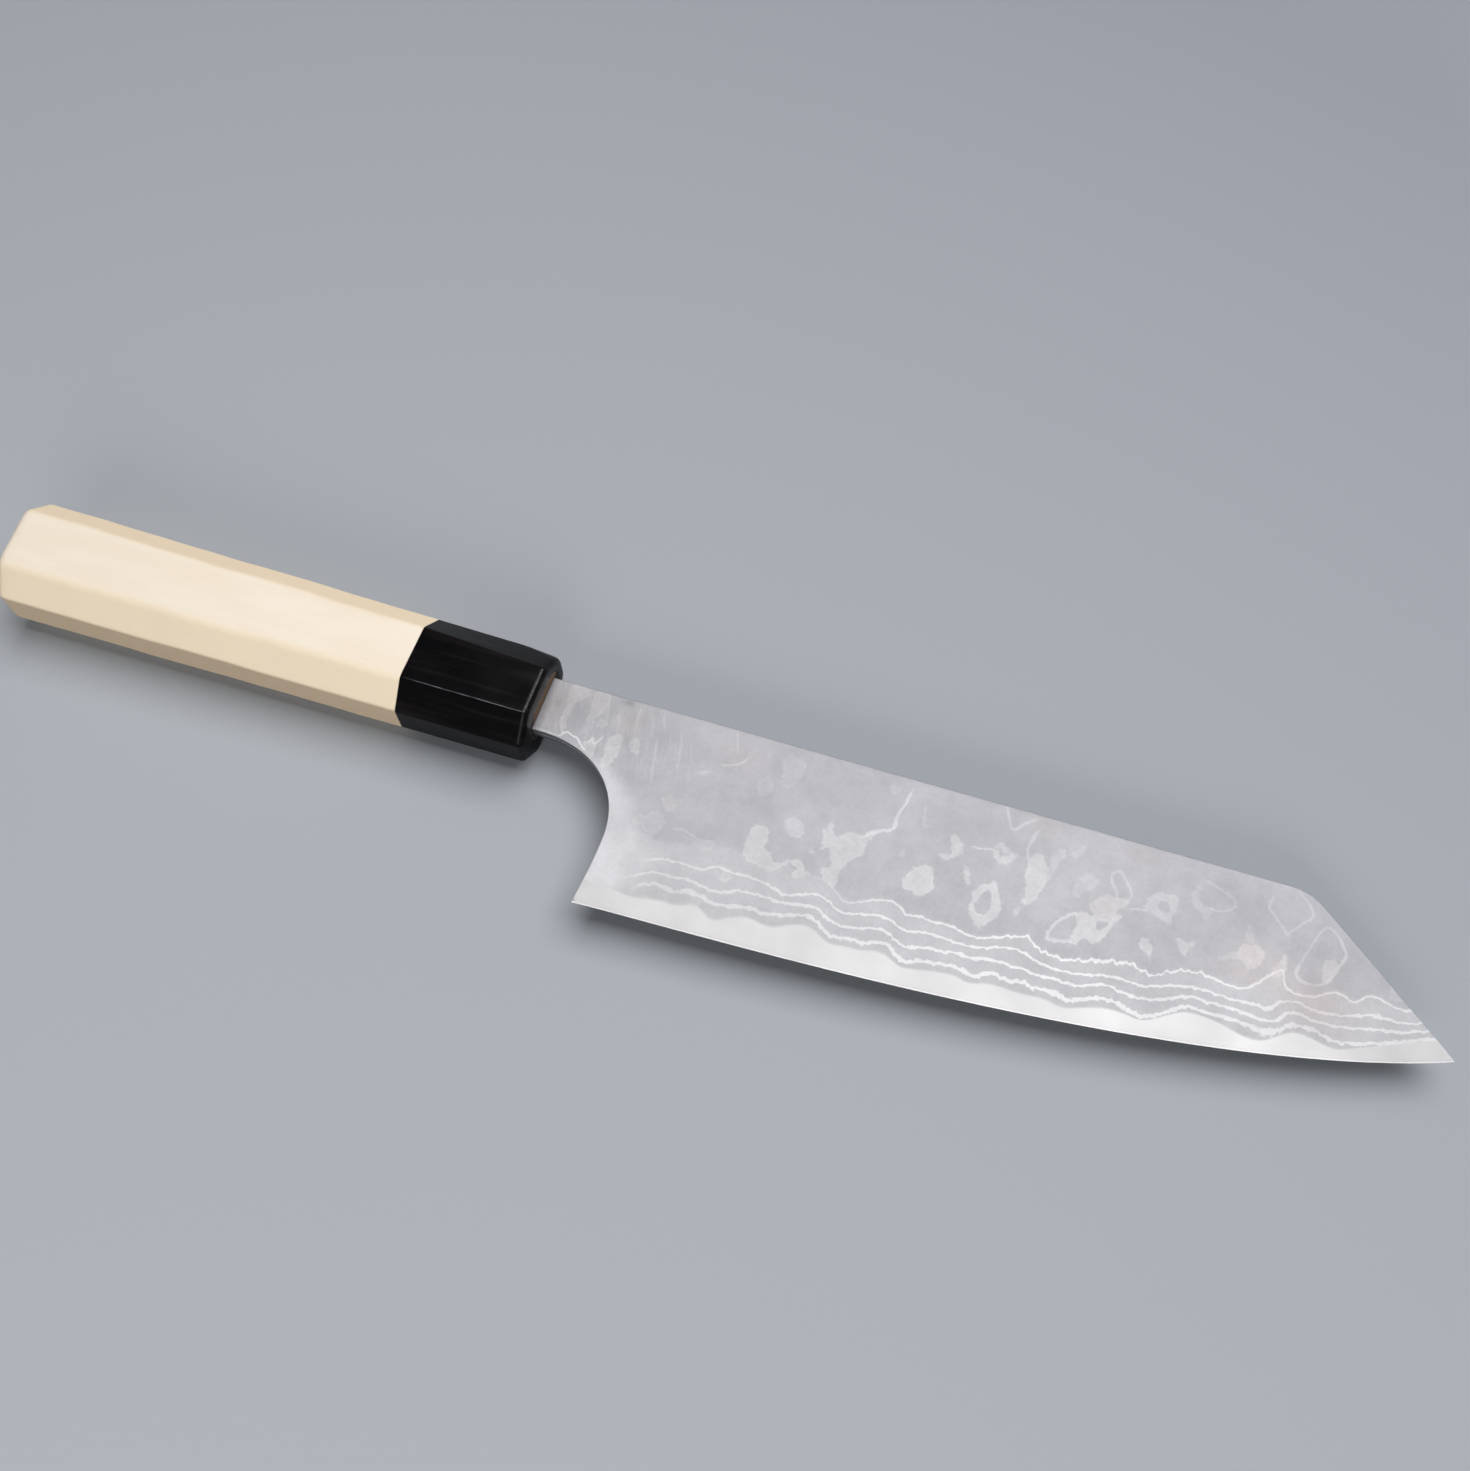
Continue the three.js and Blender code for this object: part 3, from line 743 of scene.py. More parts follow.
# a layer line through its rounded knots; each bright one trembles by a few short waves, and the last is
# ragged on a stretch
def lineHeight(number, x):
    knots = roundedLines[number]
    start, rough, rougher, end = lineTremble["ragged"]
    ragged = smoothStep(start, rough, x) * smoothStep(end, rougher, x) * (number == len(layerLines) - 1)
    height = lineTremble["height"] * (1 + (lineTremble["times"] - 1) * ragged)
    tremble = sum(
        np.sin(2 * np.pi * x / wave + lineTremble["phase"] * number * k)
        for k, wave in enumerate(lineTremble["waves"])
    )
    return np.interp(x, knots[:, 0], knots[:, 1]) + height * tremble * (number > 0)


# layers counted up from the core: whole numbers on the lines, straight between them, then a half layer more
def layersUp(x, y):
    lines = [lineHeight(number, x) for number in range(len(layerLines))]
    between = [np.clip((y - low) / (high - low), 0, 1) for low, high in zip(lines, lines[1:])]
    return sum(between) + plateau["layers"] * np.clip((y - lines[-1]) / plateau["rise"], 0, 1)


# half a bright line's width at x: swells add (times - 1) exp(-((x - middle) / length)^2) of it
def lineHalf(number, x):
    more = sum((times - 1) * np.exp(-((x - middle) / length) ** 2)
               for swollen, middle, length, times in brightLines["swells"] if swollen == number)
    return brightLines["half"][number - 1] * (1 + more)


# for the nearest bright line at x, y: how many of its half widths one layer spans, square to the line, and
# its strength there; the span is that of the two lines around y, and over the last line that of the
# plateau's rise
def lineField(x, y):
    reach = 0.4   # mm to either side, for the slope
    lines = np.array([lineHeight(number, x) for number in range(len(layerLines))])
    over = plateau["rise"] / plateau["layers"]
    spans = np.concatenate([np.diff(lines, axis=0), np.full((1, *x.shape), over)])
    between = np.clip(np.sum(y > lines, 0) - 1, 0, len(spans) - 1)
    span = np.take_along_axis(spans, between[None], 0)[0]
    nearest = np.clip(np.rint(layersUp(x, y)), 1, len(layerLines) - 1)
    scale = np.zeros(x.shape)
    strength = np.zeros(x.shape)
    for number in range(1, len(layerLines)):
        slope = (lineHeight(number, x + reach) - lineHeight(number, x - reach)) / (2 * reach)
        mine = nearest == number
        scale = np.where(mine, span / np.sqrt(1 + slope ** 2) / lineHalf(number, x), scale)
        fade = smoothStep(brightLines["faint"][number - 1], brightLines["full"][number - 1], x)
        strength = np.where(mine, fade, strength)
    return scale, strength * np.interp(x, *brightLines["dull"])


# Islands where the grind breaks through to the next bright layer: a strength, the outline as x, y in
# millimetres, and the outline of a hole if there is one
islands = [
    (1.0, [(85.3, -10.7), (86.3, -9.8), (88.2, -9.8), (88.7, -11.3), (88.5, -12.7), (89.7, -14),
           (89.5, -14.6), (88.2, -15), (87.8, -16.5), (85.2, -16), (83.3, -15.8), (82.8, -14.7),
           (83.2, -13), (84, -11.7)]),
    (0.55, [(56.8, -9.7), (57.2, -8.7), (58.3, -8), (59.7, -8), (60.7, -9), (61.2, -11.3), (60.8, -12),
            (59.5, -12.3), (58.3, -11.7), (57.3, -10.8)]),
    (0.8, [(66.2, -5.3), (66.3, -7.3), (67.2, -9.2), (68.7, -9.3), (69.7, -7.7), (71.3, -7.5), (72.8, -7.3),
           (73.3, -6.7), (74.3, -5.7), (74.8, -6), (74.7, -8), (73.7, -8.3), (74.2, -10.3), (73.7, -12),
           (72, -13), (71.2, -14.7), (70.2, -16.7), (70.7, -19.7), (69.7, -19.8), (68, -19), (66.7, -18),
           (66.8, -16.7), (68.3, -16.2), (68.2, -14.7), (67.5, -13), (66.7, -12.2), (65.8, -13),
           (65.2, -12.3), (65.2, -10), (64.3, -8.8), (65.5, -8.2), (65.7, -6.7)]),
    (0.9, [(50.7, -12.3), (52, -11.7), (53.7, -11.8), (54.7, -13.3), (54.7, -14.7), (53.8, -16),
           (55.5, -16.7), (56.7, -18.3), (58, -18.7), (59, -18), (60.3, -16.7), (62.7, -16.5),
           (63.3, -17.7), (63.7, -18.7), (65.3, -18.3), (64, -19.7), (62, -20.5), (61.3, -20.5),
           (61.7, -19.3), (62.3, -18.3), (61.3, -18.2), (60, -17.7), (59, -19), (57.8, -20.3),
           (56.3, -20.8), (54.3, -20.3), (51.7, -19.8), (50.7, -19), (50.5, -17.3)]),
    (0.35, [(52.4, 2.8), (53, 5.2), (54.6, 5.6), (55.8, 5), (57.3, 4.8), (57.2, 2), (56.6, 0), (55.9, -1.6),
            (54.6, -2), (53.6, -1.2), (53.2, 0.8)]),
    (0.3, [(49.2, -1.6), (51.2, -0.6), (52.2, -2.4), (52.4, -4.4), (51, -5.8), (49.6, -5.2), (48.8, -3.4)]),
    (0.5, [(63.2, -13.8), (64.6, -13.4), (64.2, -14.4), (63.4, -14.6)]),
    (0.5, [(81, -9.6), (81.2, -7.6), (81.6, -7.2), (82, -8.6), (82.1, -9.4), (81.6, -9.9)]),
    (0.85, [(90, -1.8), (91, -1.4), (91.6, -2.6), (92.9, -3), (92.6, -4.4), (92.8, -5.4), (91.6, -6.6),
            (90.2, -7.4), (88.6, -7), (88, -6.7), (90, -6.2), (91.2, -5.4), (90.6, -4.4), (90.3, -3.2)]),
    (0.4, [(74.8, 5), (75.6, 3.8), (76.6, 3.3), (77.4, 4.2), (77.8, 5.2)]),
    (0.85, [(93.9, -8.2), (94.4, -7.2), (95.1, -7.6), (95.5, -9.4), (96.2, -11.2), (95.6, -11.4),
            (94.8, -10.2)]),
    (0.95, [(100.7, -8.8), (101.3, -10), (102.3, -11.3), (103, -13.3), (103.2, -15.3), (102, -17),
            (101, -17.7), (100, -19.3), (98.7, -18.7), (97.7, -17.3), (96.7, -15.7), (97.3, -14),
            (96.6, -12.4), (98.3, -10.8), (99.7, -9.7)],
     [(99.7, -10.8), (100.8, -11.3), (101, -13.3), (101.3, -15), (100.3, -16.3), (99.3, -16.7), (98, -15.7),
      (97.7, -14.7), (98.5, -13)]),
    (0.75, [(100, 0.3), (100.5, -0.7), (102.7, -1.7), (103.7, -2.3), (103.2, -3.3), (101.5, -4.7),
            (100.5, -5), (99.5, -4), (98.8, -2.6)],
     [(99.8, -1.3), (101.7, -2.3), (102.2, -2.8), (100.3, -3.3), (99.7, -2.5)]),
    (0.8, [(106.7, -0.3), (107.7, 0), (108.8, -1), (110, -2.4), (111, -3.7), (110.3, -6), (110, -8.3),
           (108.8, -10.3), (108, -12), (106.5, -11.7), (107.2, -10), (107, -8), (106, -5.7), (106, -4)]),
    (0.5, [(110.2, -3.6), (110.4, -1), (111.2, 1.4), (112.6, 2.4), (113, 1.2), (112.2, -1), (111.2, -4.2),
           (110.4, -6)]),
    (0.7, [(104.9, -12.9), (105.8, -13.6), (106.8, -12.6), (106.8, -13.6), (106.2, -14.8), (105.5, -13.9)]),
    (0.4, [(113.6, 1.8), (114.6, 1), (115.8, 1.6), (116.8, 4.2), (116.2, 4.4), (115, 2.8)]),
    (0.4, [(117.3, -1.7), (119.3, -1.3), (120.7, -2.7), (119.7, -4.3), (118.3, -6), (116.3, -7.7),
           (115.7, -5)]),
    (0.75, [(120, -8.7), (119.7, -8), (120.7, -6), (122, -5), (123.7, -5), (125, -4.7), (127, -4.3),
            (127, -5.3), (125.3, -7.3), (124.4, -8.8), (122.6, -9.6), (120.6, -9.8)]),
    (0.95, [(117.2, -10.4), (118.8, -9.8), (120.6, -9.8), (122, -9.8), (124, -9.2), (125.6, -8),
            (126.6, -8.3), (125.3, -10), (124.7, -11.3), (123.7, -13.7), (122.3, -15.7), (120.7, -15),
            (119.3, -15.3), (119, -16.7), (118, -17.5), (117.3, -16.7), (117.7, -14.7), (118.2, -13)],
     [(121.9, -10.6), (124.4, -10.1), (123.3, -12.2), (121.8, -12.5)]),
    (0.65, [(131.3, -1.7), (133, -0.8), (136, -0.8), (136.5, -1.7), (136.2, -4.7), (135.7, -7),
            (134.3, -6.7), (132.3, -5.7), (130.2, -5.8), (130.3, -4.3), (130.8, -2.7)],
     [(133.5, -2.3), (135, -2.8), (135, -4.7), (133.3, -5), (132.5, -4)]),
    (0.8, [(131.3, -11.3), (132.3, -11), (132.7, -12.3), (133.3, -13), (133, -14), (133.3, -15.3),
           (132.7, -14.7), (131, -13.8), (130.7, -12.7)]),
    (0.8, [(137.7, -9), (137.7, -10), (139, -12.2), (139.7, -12.3), (140, -10.7), (141.3, -9.3),
           (140.7, -8.7), (139.7, -9.7), (138.7, -9.7)]),
    (0.45, [(138.6, 1), (139.8, 2.6), (140.6, 4.4), (141.2, 4.2), (140.4, 2), (139.9, 0.8), (140.6, -0.4),
            (142.2, -1.2), (143.8, -1), (143, -2), (142.8, -3.4), (141.6, -4), (140.8, -2.8), (139.4, -1.6),
            (138.8, 0)]),
    (0.8, [(150.3, -6.3), (152.3, -6), (153.7, -6.3), (154.7, -7.7), (154.3, -9), (152.7, -10),
           (153.2, -10.7), (152.3, -11.7), (151.3, -10.7), (150.3, -9.7), (149, -9.6), (149.3, -7.7)]),
    (0.45, [(150.3, -9.7), (148.3, -10), (146, -11.3), (145.3, -12), (145.7, -10.7), (148.3, -9),
            (149.3, -8)]),
    (0.4, [(150.4, -5.8), (150.2, -3.4), (150.8, -2.2), (151.6, -3.4), (152.3, -5.4), (151.6, -6.4)]),
    (0.9, [(158.3, -6), (159, -7.3), (159, -9), (158.3, -10.7), (157.3, -11.7), (156, -10.7), (156.8, -9),
           (157.8, -7.3)]),
    (0.8, [(166, -4.5), (168.7, -4.3), (168, -6.7), (167, -9.3), (165.7, -10), (166, -8), (165.5, -6)]),
    (0.35, [(178.4, -7), (179.2, -6.8), (181, -8.2), (180.6, -9.2), (179, -8.8)]),
    (0.8, [(46.4, -22.6), (48.6, -22.4), (50, -23.2), (50.2, -25), (48.6, -25.6), (47.2, -25.2),
           (48.4, -24.2), (48, -23.2)]),
    (0.4, [(40, -20.8), (40.6, -18.6), (43.6, -18), (45, -18.8), (44.4, -20), (42, -20.4)]),
    (0.4, [(31, -11.6), (33.4, -10.9), (34.8, -12.4), (34.4, -14.2), (33, -15), (31.6, -13.6)]),
    (0.45, [(26.4, -18.2), (28.2, -16.8), (29.2, -17.4), (30.4, -15.2), (32.8, -15.6), (33.6, -17.6),
            (32.8, -20), (31.4, -22.4), (30.2, -21.4), (29.4, -19), (27.6, -19.6)]),
    (0.95, [(16.1, -2.1), (18.3, -1.1), (19, -3.6), (19.2, -6.1), (17.9, -8.9), (16.5, -10), (16.1, -7.1),
            (15.8, -4.3)]),
    (0.6, [(20.6, -2.6), (21.1, -0.6), (22.4, -1.6), (23.2, -3.8), (22.4, -4.8), (21, -4.2)]),
    (0.6, [(12.2, 1), (14.4, 0.6), (14.6, -0.6), (13, -1.4), (12.2, -0.6)]),
    (0.95, [(12, -7.2), (11.4, -6.2), (11.8, -5.1), (12.6, -4.2), (13.4, -4.8), (14.1, -4.2), (13.7, -6),
            (14.1, -8.2), (13.2, -7.8)]),
    (0.75, [(4, 5.4), (4.2, 7.2), (7.6, 7.2), (8.6, 6.2), (7.8, 4.4), (6.2, 3.2), (5.7, -0.6), (6.5, -3.6),
            (5.6, -4.4), (4.4, -1), (4.6, 3.2)]),
    (0.45, [(9.2, 7.2), (13.4, 7.2), (13, 4.2), (12, 2), (11.6, -2.6), (10.2, -3.4), (9.8, 0), (10.4, 2.8),
            (9.6, 4.6)]),
]

# Thin bright rims where it only just breaks through, and one painted highlight, the glint along the neck's
# lower
# edge: a strength, half the width in millimetres, and the rim's points
rims = [
    (0.9, 0.42, [(73.8, -7), (75.2, -5.8), (76.6, -5), (78, -4.7), (78.6, -3.6), (78.4, -2)]),
    (0.8, 0.3, [(78.4, -2.4), (78.4, -1.2), (78.8, 0.4), (79.5, 2.7), (79.8, 4.7)]),
    (0.75, 0.25, [(95, -2.9), (96.2, -3), (97.4, -2.6), (98.9, -2.4)]),
    (0.6, 0.28, [(99.4, 8), (100.3, 5), (101.4, 3), (102.7, 4), (104, 5.7), (105.7, 6.8)]),
    (0.6, 0.32, [(106.6, 4.4), (105.8, 1.9), (105.3, -0.3), (105.9, -2)]),
    (0.8, 0.34, [(117.4, -10.5), (115.7, -11.7), (114.3, -13.3), (113.3, -15.3), (112.8, -17.3),
                 (114.8, -17.2), (117.3, -16.6)]),
    (0.55, 0.27, [(124.8, -4.6), (124, -2.9), (122.6, -1.5), (122.8, 0.2), (124.2, 1.4), (125.2, 0),
                  (126.7, -1.7), (127.3, -3.7), (126.8, -5)]),
    (0.6, 0.25, [(127.8, -6.1), (129.2, -5.7), (130.6, -5.6)]),
    (0.45, 0.25, [(142.6, -1.2), (144.2, -1.4), (146, -0.7), (147.4, 0.6), (147.4, 1.8), (146, 2.8),
                  (144.3, 3.3), (142.8, 3.7), (141, 4.5)]),
    (0.5, 0.28, [(154.2, 4.6), (153.6, 3), (154.4, 1.8), (156.3, 0), (158.1, -2)]),
    (0.5, 0.22, [(158.1, -2), (159.3, -0.4), (161, 1.7), (162.6, 3.2), (162.2, 4.6), (160.8, 6.4),
                 (159.4, 7.6)]),
    (0.5, 0.24, [(161.1, -7.6), (162.2, -4.7), (163, -2.7), (164, 0), (165.3, 2.1), (167, 1.7), (168, 0.3)]),
    (0.8, 0.3, [(168, 0.3), (169.8, -2.3), (169.2, -4.3), (168, -6.7), (167.2, -9), (165.7, -10.1),
                (163.7, -10.8), (161.3, -10.3), (160.7, -8.8), (161.1, -7.6)]),
    # painted highlight: the glint along the neck's eased lower edge
    (1.2, 0.15, [(0.4, -5.3), (3, -5.4), (6, -5.5)]),
    (0.7, 0.17, [(4.9, -1.2), (5.2, -2.6), (5.8, -4), (6.2, -5.4)]),
    (1.9, 0.2, [(6.1, -5.3), (6.3, -4.6), (7.2, -4.1), (8.3, -4.7), (9.4, -4.7), (10.1, -5.2), (10.6, -5.8),
                (11.3, -6.5), (12, -7)]),
    (1.2, 0.18, [(11.5, -5.3), (12.4, -5), (12.7, -3.4), (13.1, -4.9), (13.7, -5), (14.5, -3.2)]),
    (0.55, 0.3, [(20, 5.4), (20.2, 3.4), (20.6, 1.2)]),
    (0.3, 0.35, [(23, 4.8), (23.8, 2.6), (24.4, 0.2)]),
    (0.3, 0.22, [(25.3, 6), (25.8, 4.6), (26.4, 3)]),
    (0.4, 0.3, [(26, -0.6), (26.5, -3.6), (26.9, -6.4), (27.6, -9)]),
    (0.32, 0.26, [(30.6, 1.8), (31.2, -1), (31.9, -4.4)]),
    (0.3, 0.24, [(33.2, 0.6), (33.6, -0.8), (34.3, -2.6)]),
    (0.4, 0.24, [(41.4, 7), (41.9, 5.2), (42.7, 2.8)]),
    (0.75, 0.22, [(40.8, -1.4), (42.4, -0.9), (43.8, -0.4), (45.4, 1.8)]),
    (0.5, 0.25, [(36.8, -4.5), (37.6, -4), (38.4, -3.7)]),
    (0.45, 0.25, [(36, -17.9), (37.8, -17.4), (38.8, -18), (40, -18.2)]),
    (0.35, 0.3, [(83.5, 2), (83.8, 0.2), (84.1, -1.6), (85, -1.4)]),
]
otherFaceSum = 206   # mm, x on this face plus x on the other, whose islands run from the tip back
markReach = {"mm": 2.0, "rimHalves": 4}   # how far off an island or a rim is felt
farOff = 99.0   # mm, further than any line


# way from x, y to the nearest spot on a line of points, with a sign for the side of the line
def lineOffset(x, y, points):
    offset = np.full(x.shape, farOff)
    for (startX, startY), (legX, legY) in zip(points, np.diff(points, axis=0)):
        share = np.clip(((x - startX) * legX + (y - startY) * legY) / (legX ** 2 + legY ** 2), 0, 1)
        awayX, awayY = x - startX - share * legX, y - startY - share * legY
        way = np.copysign(np.hypot(awayX, awayY), legX * awayY - legY * awayX)
        offset = np.where(np.abs(way) < np.abs(offset), way, offset)
    return offset


# whether x, y is inside a closed line: a ray along x crosses an odd number of its legs
def isInside(x, y, points):
    inside = np.zeros(x.shape, bool)
    for (startX, startY), (endX, endY) in zip(points, points[1:]):
        spans = (startY > y) != (endY > y)
        rise = endY - startY if endY != startY else 1
        inside ^= spans & (x < startX + (y - startY) * (endX - startX) / rise)
    return inside


# which spots are within reach of a line of points
def isNear(x, y, points, reach):
    low, high = np.min(points, 0) - reach, np.max(points, 0) + reach
    return (x > low[0]) & (x < high[0]) & (y > low[1]) & (y < high[1])


# millimetres inside the nearest island, less than nothing outside it, and that island's strength
def islandField(x, y):
    depth = np.full(x.shape, -markReach["mm"])
    strength = np.zeros(x.shape)
    for shade, *outlines in islands:
        outlines = [smoothed(outline, True) for outline in outlines]
        near = isNear(x, y, outlines[0], markReach["mm"])
        nearX, nearY = x[near], y[near]
        way = np.min([np.abs(lineOffset(nearX, nearY, outline)) for outline in outlines], 0)
        inside = np.logical_xor.reduce([isInside(nearX, nearY, outline) for outline in outlines])
        way = np.where(inside, way, -way)
        deeper = way > depth[near]
        depth[near] = np.where(deeper, way, depth[near])
        strength[near] = np.where(deeper, shade, strength[near])
    return depth, strength


# signed way from the middle of the nearest rim, in half widths of that rim, and its strength close to it
def rimField(x, y):
    nearest = np.full(x.shape, farOff)
    strength = np.zeros(x.shape)
    for shade, half, points in rims:
        points = smoothed(points, False)
        near = isNear(x, y, points, markReach["mm"])
        offset = lineOffset(x[near], y[near], points) / half
        closer = np.abs(offset) < np.abs(nearest[near])
        nearest[near] = np.where(closer, offset, nearest[near])
        strength[near] = np.where(closer, shade, strength[near])
    return nearest, np.where(np.abs(nearest) < markReach["rimHalves"], strength, 0)


# Soft hills, each x, y, half length, half height in millimetres and strength: warm stains; lighter or darker
# steel, partly its own tone and partly painted light where the lamps' reflection is brighter or dimmer; and
# painted light on the core
stains = [
    (3, 2, 4, 7, 0.35), (19, 2, 4, 3.5, 0.4), (11, 5, 3, 3, 0.25), (44, 1.5, 8, 5, 0.25),
    (33, -12, 3, 3, 0.2), (108, 6, 4, 2.5, 0.35), (128, 5.5, 5, 2, 0.3), (123, -7, 4, 3, 0.25),
    (150, -12.6, 6, 1.8, 0.45), (152, -8, 3, 3, 0.5), (165, -14, 8, 6, 0.5), (157.5, -9, 2.5, 3.5, 0.35),
]
# lighter or darker steel: partly the steel's own tone, partly painted light where its reflection of the lamps
# is brighter or dimmer
tonesAndPaintedLight = [
    (15, -5, 38, 60, 0.17), (2, 1, 6, 9, -0.1), (7.8, 0.4, 1.9, 3.4, -0.1), (5, 6, 2.5, 2.5, 0.08),
    (19, 2, 2.6, 3, -0.08), (28, -15, 5, 5, 0.05), (26, -33, 6, 5, 0.05), (32, -24, 5, 4, 0.04),
    (14.4, 3.4, 1.2, 2.2, -0.16), (17.2, 6.3, 1.5, 0.8, -0.32), (142, 0, 18, 12, -0.035),
    (130, -22, 20, 5, -0.07), (167, -19, 6, 3, -0.06), (19.6, -1.8, 1.1, 1.5, -0.18),
    (2.3, 1.6, 1.2, 1.4, -0.12), (88, 6.5, 16, 3, 0.07), (112, -10, 6, 7, 0.06), (113, 4.5, 4, 3, 0.04),
    (153, -24, 2.6, 0.9, -0.05), (166, -7, 6, 8, -0.09), (175, -6, 7, 6, -0.04), (29, 1.5, 6.5, 4.5, -0.1),
    (20.5, 4, 3.5, 2.5, -0.05), (151, 1.5, 4.5, 3.5, -0.08), (128.5, -8.5, 3.5, 3.5, -0.05),
    (92, -10.5, 4, 4, -0.04), (119, -21, 3.5, 1.5, 0.1), (92, -22.2, 4, 1.5, 0.05), (27, -29, 4, 4, 0.04),
]
# painted light on the core: lighter at the heel, darker towards the tip, as the lamps' reflection falls
corePaintedLight = [
    (22, -37, 5, 5, 0.05), (38, -36, 13, 12, 0.11), (140, -28, 20, 10, 0.02), (182, -19, 16, 12, -0.13),
]


# sum of strength times exp(-r^2) over the hills
def hillSum(hills, x, y):
    return sum(strength * np.exp(-((x - hillX) / length) ** 2 - ((y - hillY) / height) ** 2)
               for hillX, hillY, length, height, strength in hills)


# Steel rubbed bright beside the choil, and the streaks over the neck, in millimetres
wear = {
    "atNeck": 6,            # how far it reaches in from the choil
    "atHeel": 13,
    "widens": (-17, -25),   # y between which it goes from the one to the other
    "under": (-5, -11),     # y over which it sets in
    "fade": (0.2, 1.2),     # shares of its reach
    "strength": 0.7,
}
streaked = {"along": (12, 50), "up": (-14, -5)}   # x over which the streaks end, y over which they set in


# strength times the share left at this part of the reach, only under the neck
def wornShare(x, y):
    frontX = np.interp(-y, -choilPath[:, 1], choilPath[:, 0])
    reach = mixed(wear["atNeck"], wear["atHeel"], smoothStep(*wear["widens"], y))
    near, far = wear["fade"]
    left = 1 - smoothStep(near * reach, far * reach, x - frontX)
    return wear["strength"] * left * smoothStep(*wear["under"], y)


# full high up at the neck, less along the blade and lower down
def streakShare(x, y):
    return (1 - smoothStep(*streaked["along"], x)) * smoothStep(*streaked["up"], y)


# Sections of the blade: each is a line from a point on the front or edge up to one on the back. They stand
# upright on the tang and the edge, and fan out over the choil.
sections = {
    "tang": 14,
    "edge": 400,
    "layer": 8,             # rows of points up each layer
    "plateau": 62,
    "bevel": 10,
    "bevelRows": (0, 0.5, 0.96),   # shares of the edge bevel's height
    "ease": 4,
    "inside": 5,
    "crossing": 6,          # steps that find where a line crosses a section
}
tangPath = np.stack([
    np.linspace(-blade["tangLength"], 0, sections["tang"]),
    np.linspace(blade["tangEndBottom"], blade["neckBottom"], sections["tang"]),
], -1)
edgeX = np.linspace(heelX, tipX - blade["tipShort"], sections["edge"])[1:]
front = np.vstack([tangPath, choilPath, np.stack([edgeX, edgeHeight(edgeX)], -1)])
onEdge = np.arange(len(front)) >= len(tangPath) + len(choilPath) - 1
walked = np.concatenate([[0], np.cumsum(np.hypot(*np.diff(front, axis=0).T))])
neckWalk = walked[len(tangPath)]
heelWalk = walked[len(tangPath) + len(choilPath) - 1]
alongChoil = (walked - neckWalk) / (heelWalk - neckWalk)
overChoil = mixed(blade["neckStraight"], heelX + blade["fanReach"], alongChoil)
overEdge = front[:, 0] + blade["fanReach"] * (1 - smoothStep(heelX, heelX + blade["fanFade"], front[:, 0]))
backX = np.where(onEdge, overEdge, np.where(walked < neckWalk, front[:, 0], overChoil))
back = np.stack([backX, backHeight(backX)], -1)


# x on a section at height y
def sectionX(y):
    share = (y - front[:, 1, None]) / (back[:, 1] - front[:, 1])[:, None]
    return mixed(front[:, 0, None], back[:, 0, None], share)


# where a layer line crosses each section, by a few steps of y = line(x(y)); never off the section
def lineOnSections(number):
    y = lineHeight(number, front[:, 0])[:, None]
    for step in range(sections["crossing"]):
        y = lineHeight(number, sectionX(y))
    return np.clip(y, front[:, 1, None], back[:, 1, None])


coreTop = lineOnSections(0)
cladded = back[:, 1] - coreTop[:, 0] > blade["leastCladding"]
onWall = ~onEdge & (coreTop[:, 0] < front[:, 1] + blade["seam"])   # the cladding comes down to the choil


# half the core's thickness: what the blade has on the core's top line, and more towards the tang
def coreHalf(x):
    inBlade = np.maximum(x, heelX)
    swell = 1 + blade["tangSwell"] * np.clip((heelX - x) / heelX, 0, 1)
    return halfThickness(inBlade, lineHeight(0, inBlade)) * swell


# a row of section points at heights y, all at z, as x, y, z
def sectionRow(y, z):
    return np.stack(np.broadcast_arrays(sectionX(y), y, z), -1)


# heights of the ground face's rows from low to high: some between each two layer lines, the rest over them
def faceHeights(low, high):
    marks = [np.clip(lineOnSections(number), low, high) for number in range(1, len(layerLines))]
    marks = [low, *marks, np.minimum(marks[-1] + plateau["rise"], high), high]
    share = np.linspace(0, 1, sections["layer"], endpoint=False)[None, :]
    rows = [mixed(lower, upper, share) for lower, upper in zip(marks[:-2], marks[1:-1])]
    return np.concatenate([*rows, mixed(marks[-2], high, np.linspace(0, 1, sections["plateau"])[None, :])], 1)


# one cladding: up the ground face from the core's top to the eased spine, then back down along the core
def claddingRings(side):
    low = coreTop
    high = back[:, 1, None]
    backHalf = halfThickness(sectionX(high), high)
    topEase = np.minimum(blade["eased"] * np.minimum(high - low, 1.0), blade["easedShare"] * backHalf)
    frontEase = np.where(onWall[:, None], blade["eased"], 0)
    angle = np.linspace(0, np.pi / 2, sections["ease"])[None, :]
    frontY = low + frontEase * (1 - np.cos(angle))
    frontZ = halfThickness(sectionX(frontY), frontY) - frontEase * (1 - np.sin(angle))
    faceY = faceHeights(low + frontEase, high - topEase)
    topY = high - topEase * (1 - np.sin(angle))
    topZ = backHalf - topEase * (1 - np.cos(angle))
    insideY = mixed(high, low, np.linspace(0, 1, sections["inside"])[None, :])
    insideX = sectionX(insideY)
    seam = blade["seam"] * np.clip(insideY - low, 0, 1)
    insideZ = np.minimum(coreHalf(insideX) + seam, halfThickness(insideX, insideY))
    section = np.concatenate([
        sectionRow(frontY, frontZ),
        sectionRow(faceY, halfThickness(sectionX(faceY), faceY)),
        sectionRow(topY, topZ),
        sectionRow(insideY, insideZ),
    ], 1)
    section[..., 2] *= side
    return section[cladded]


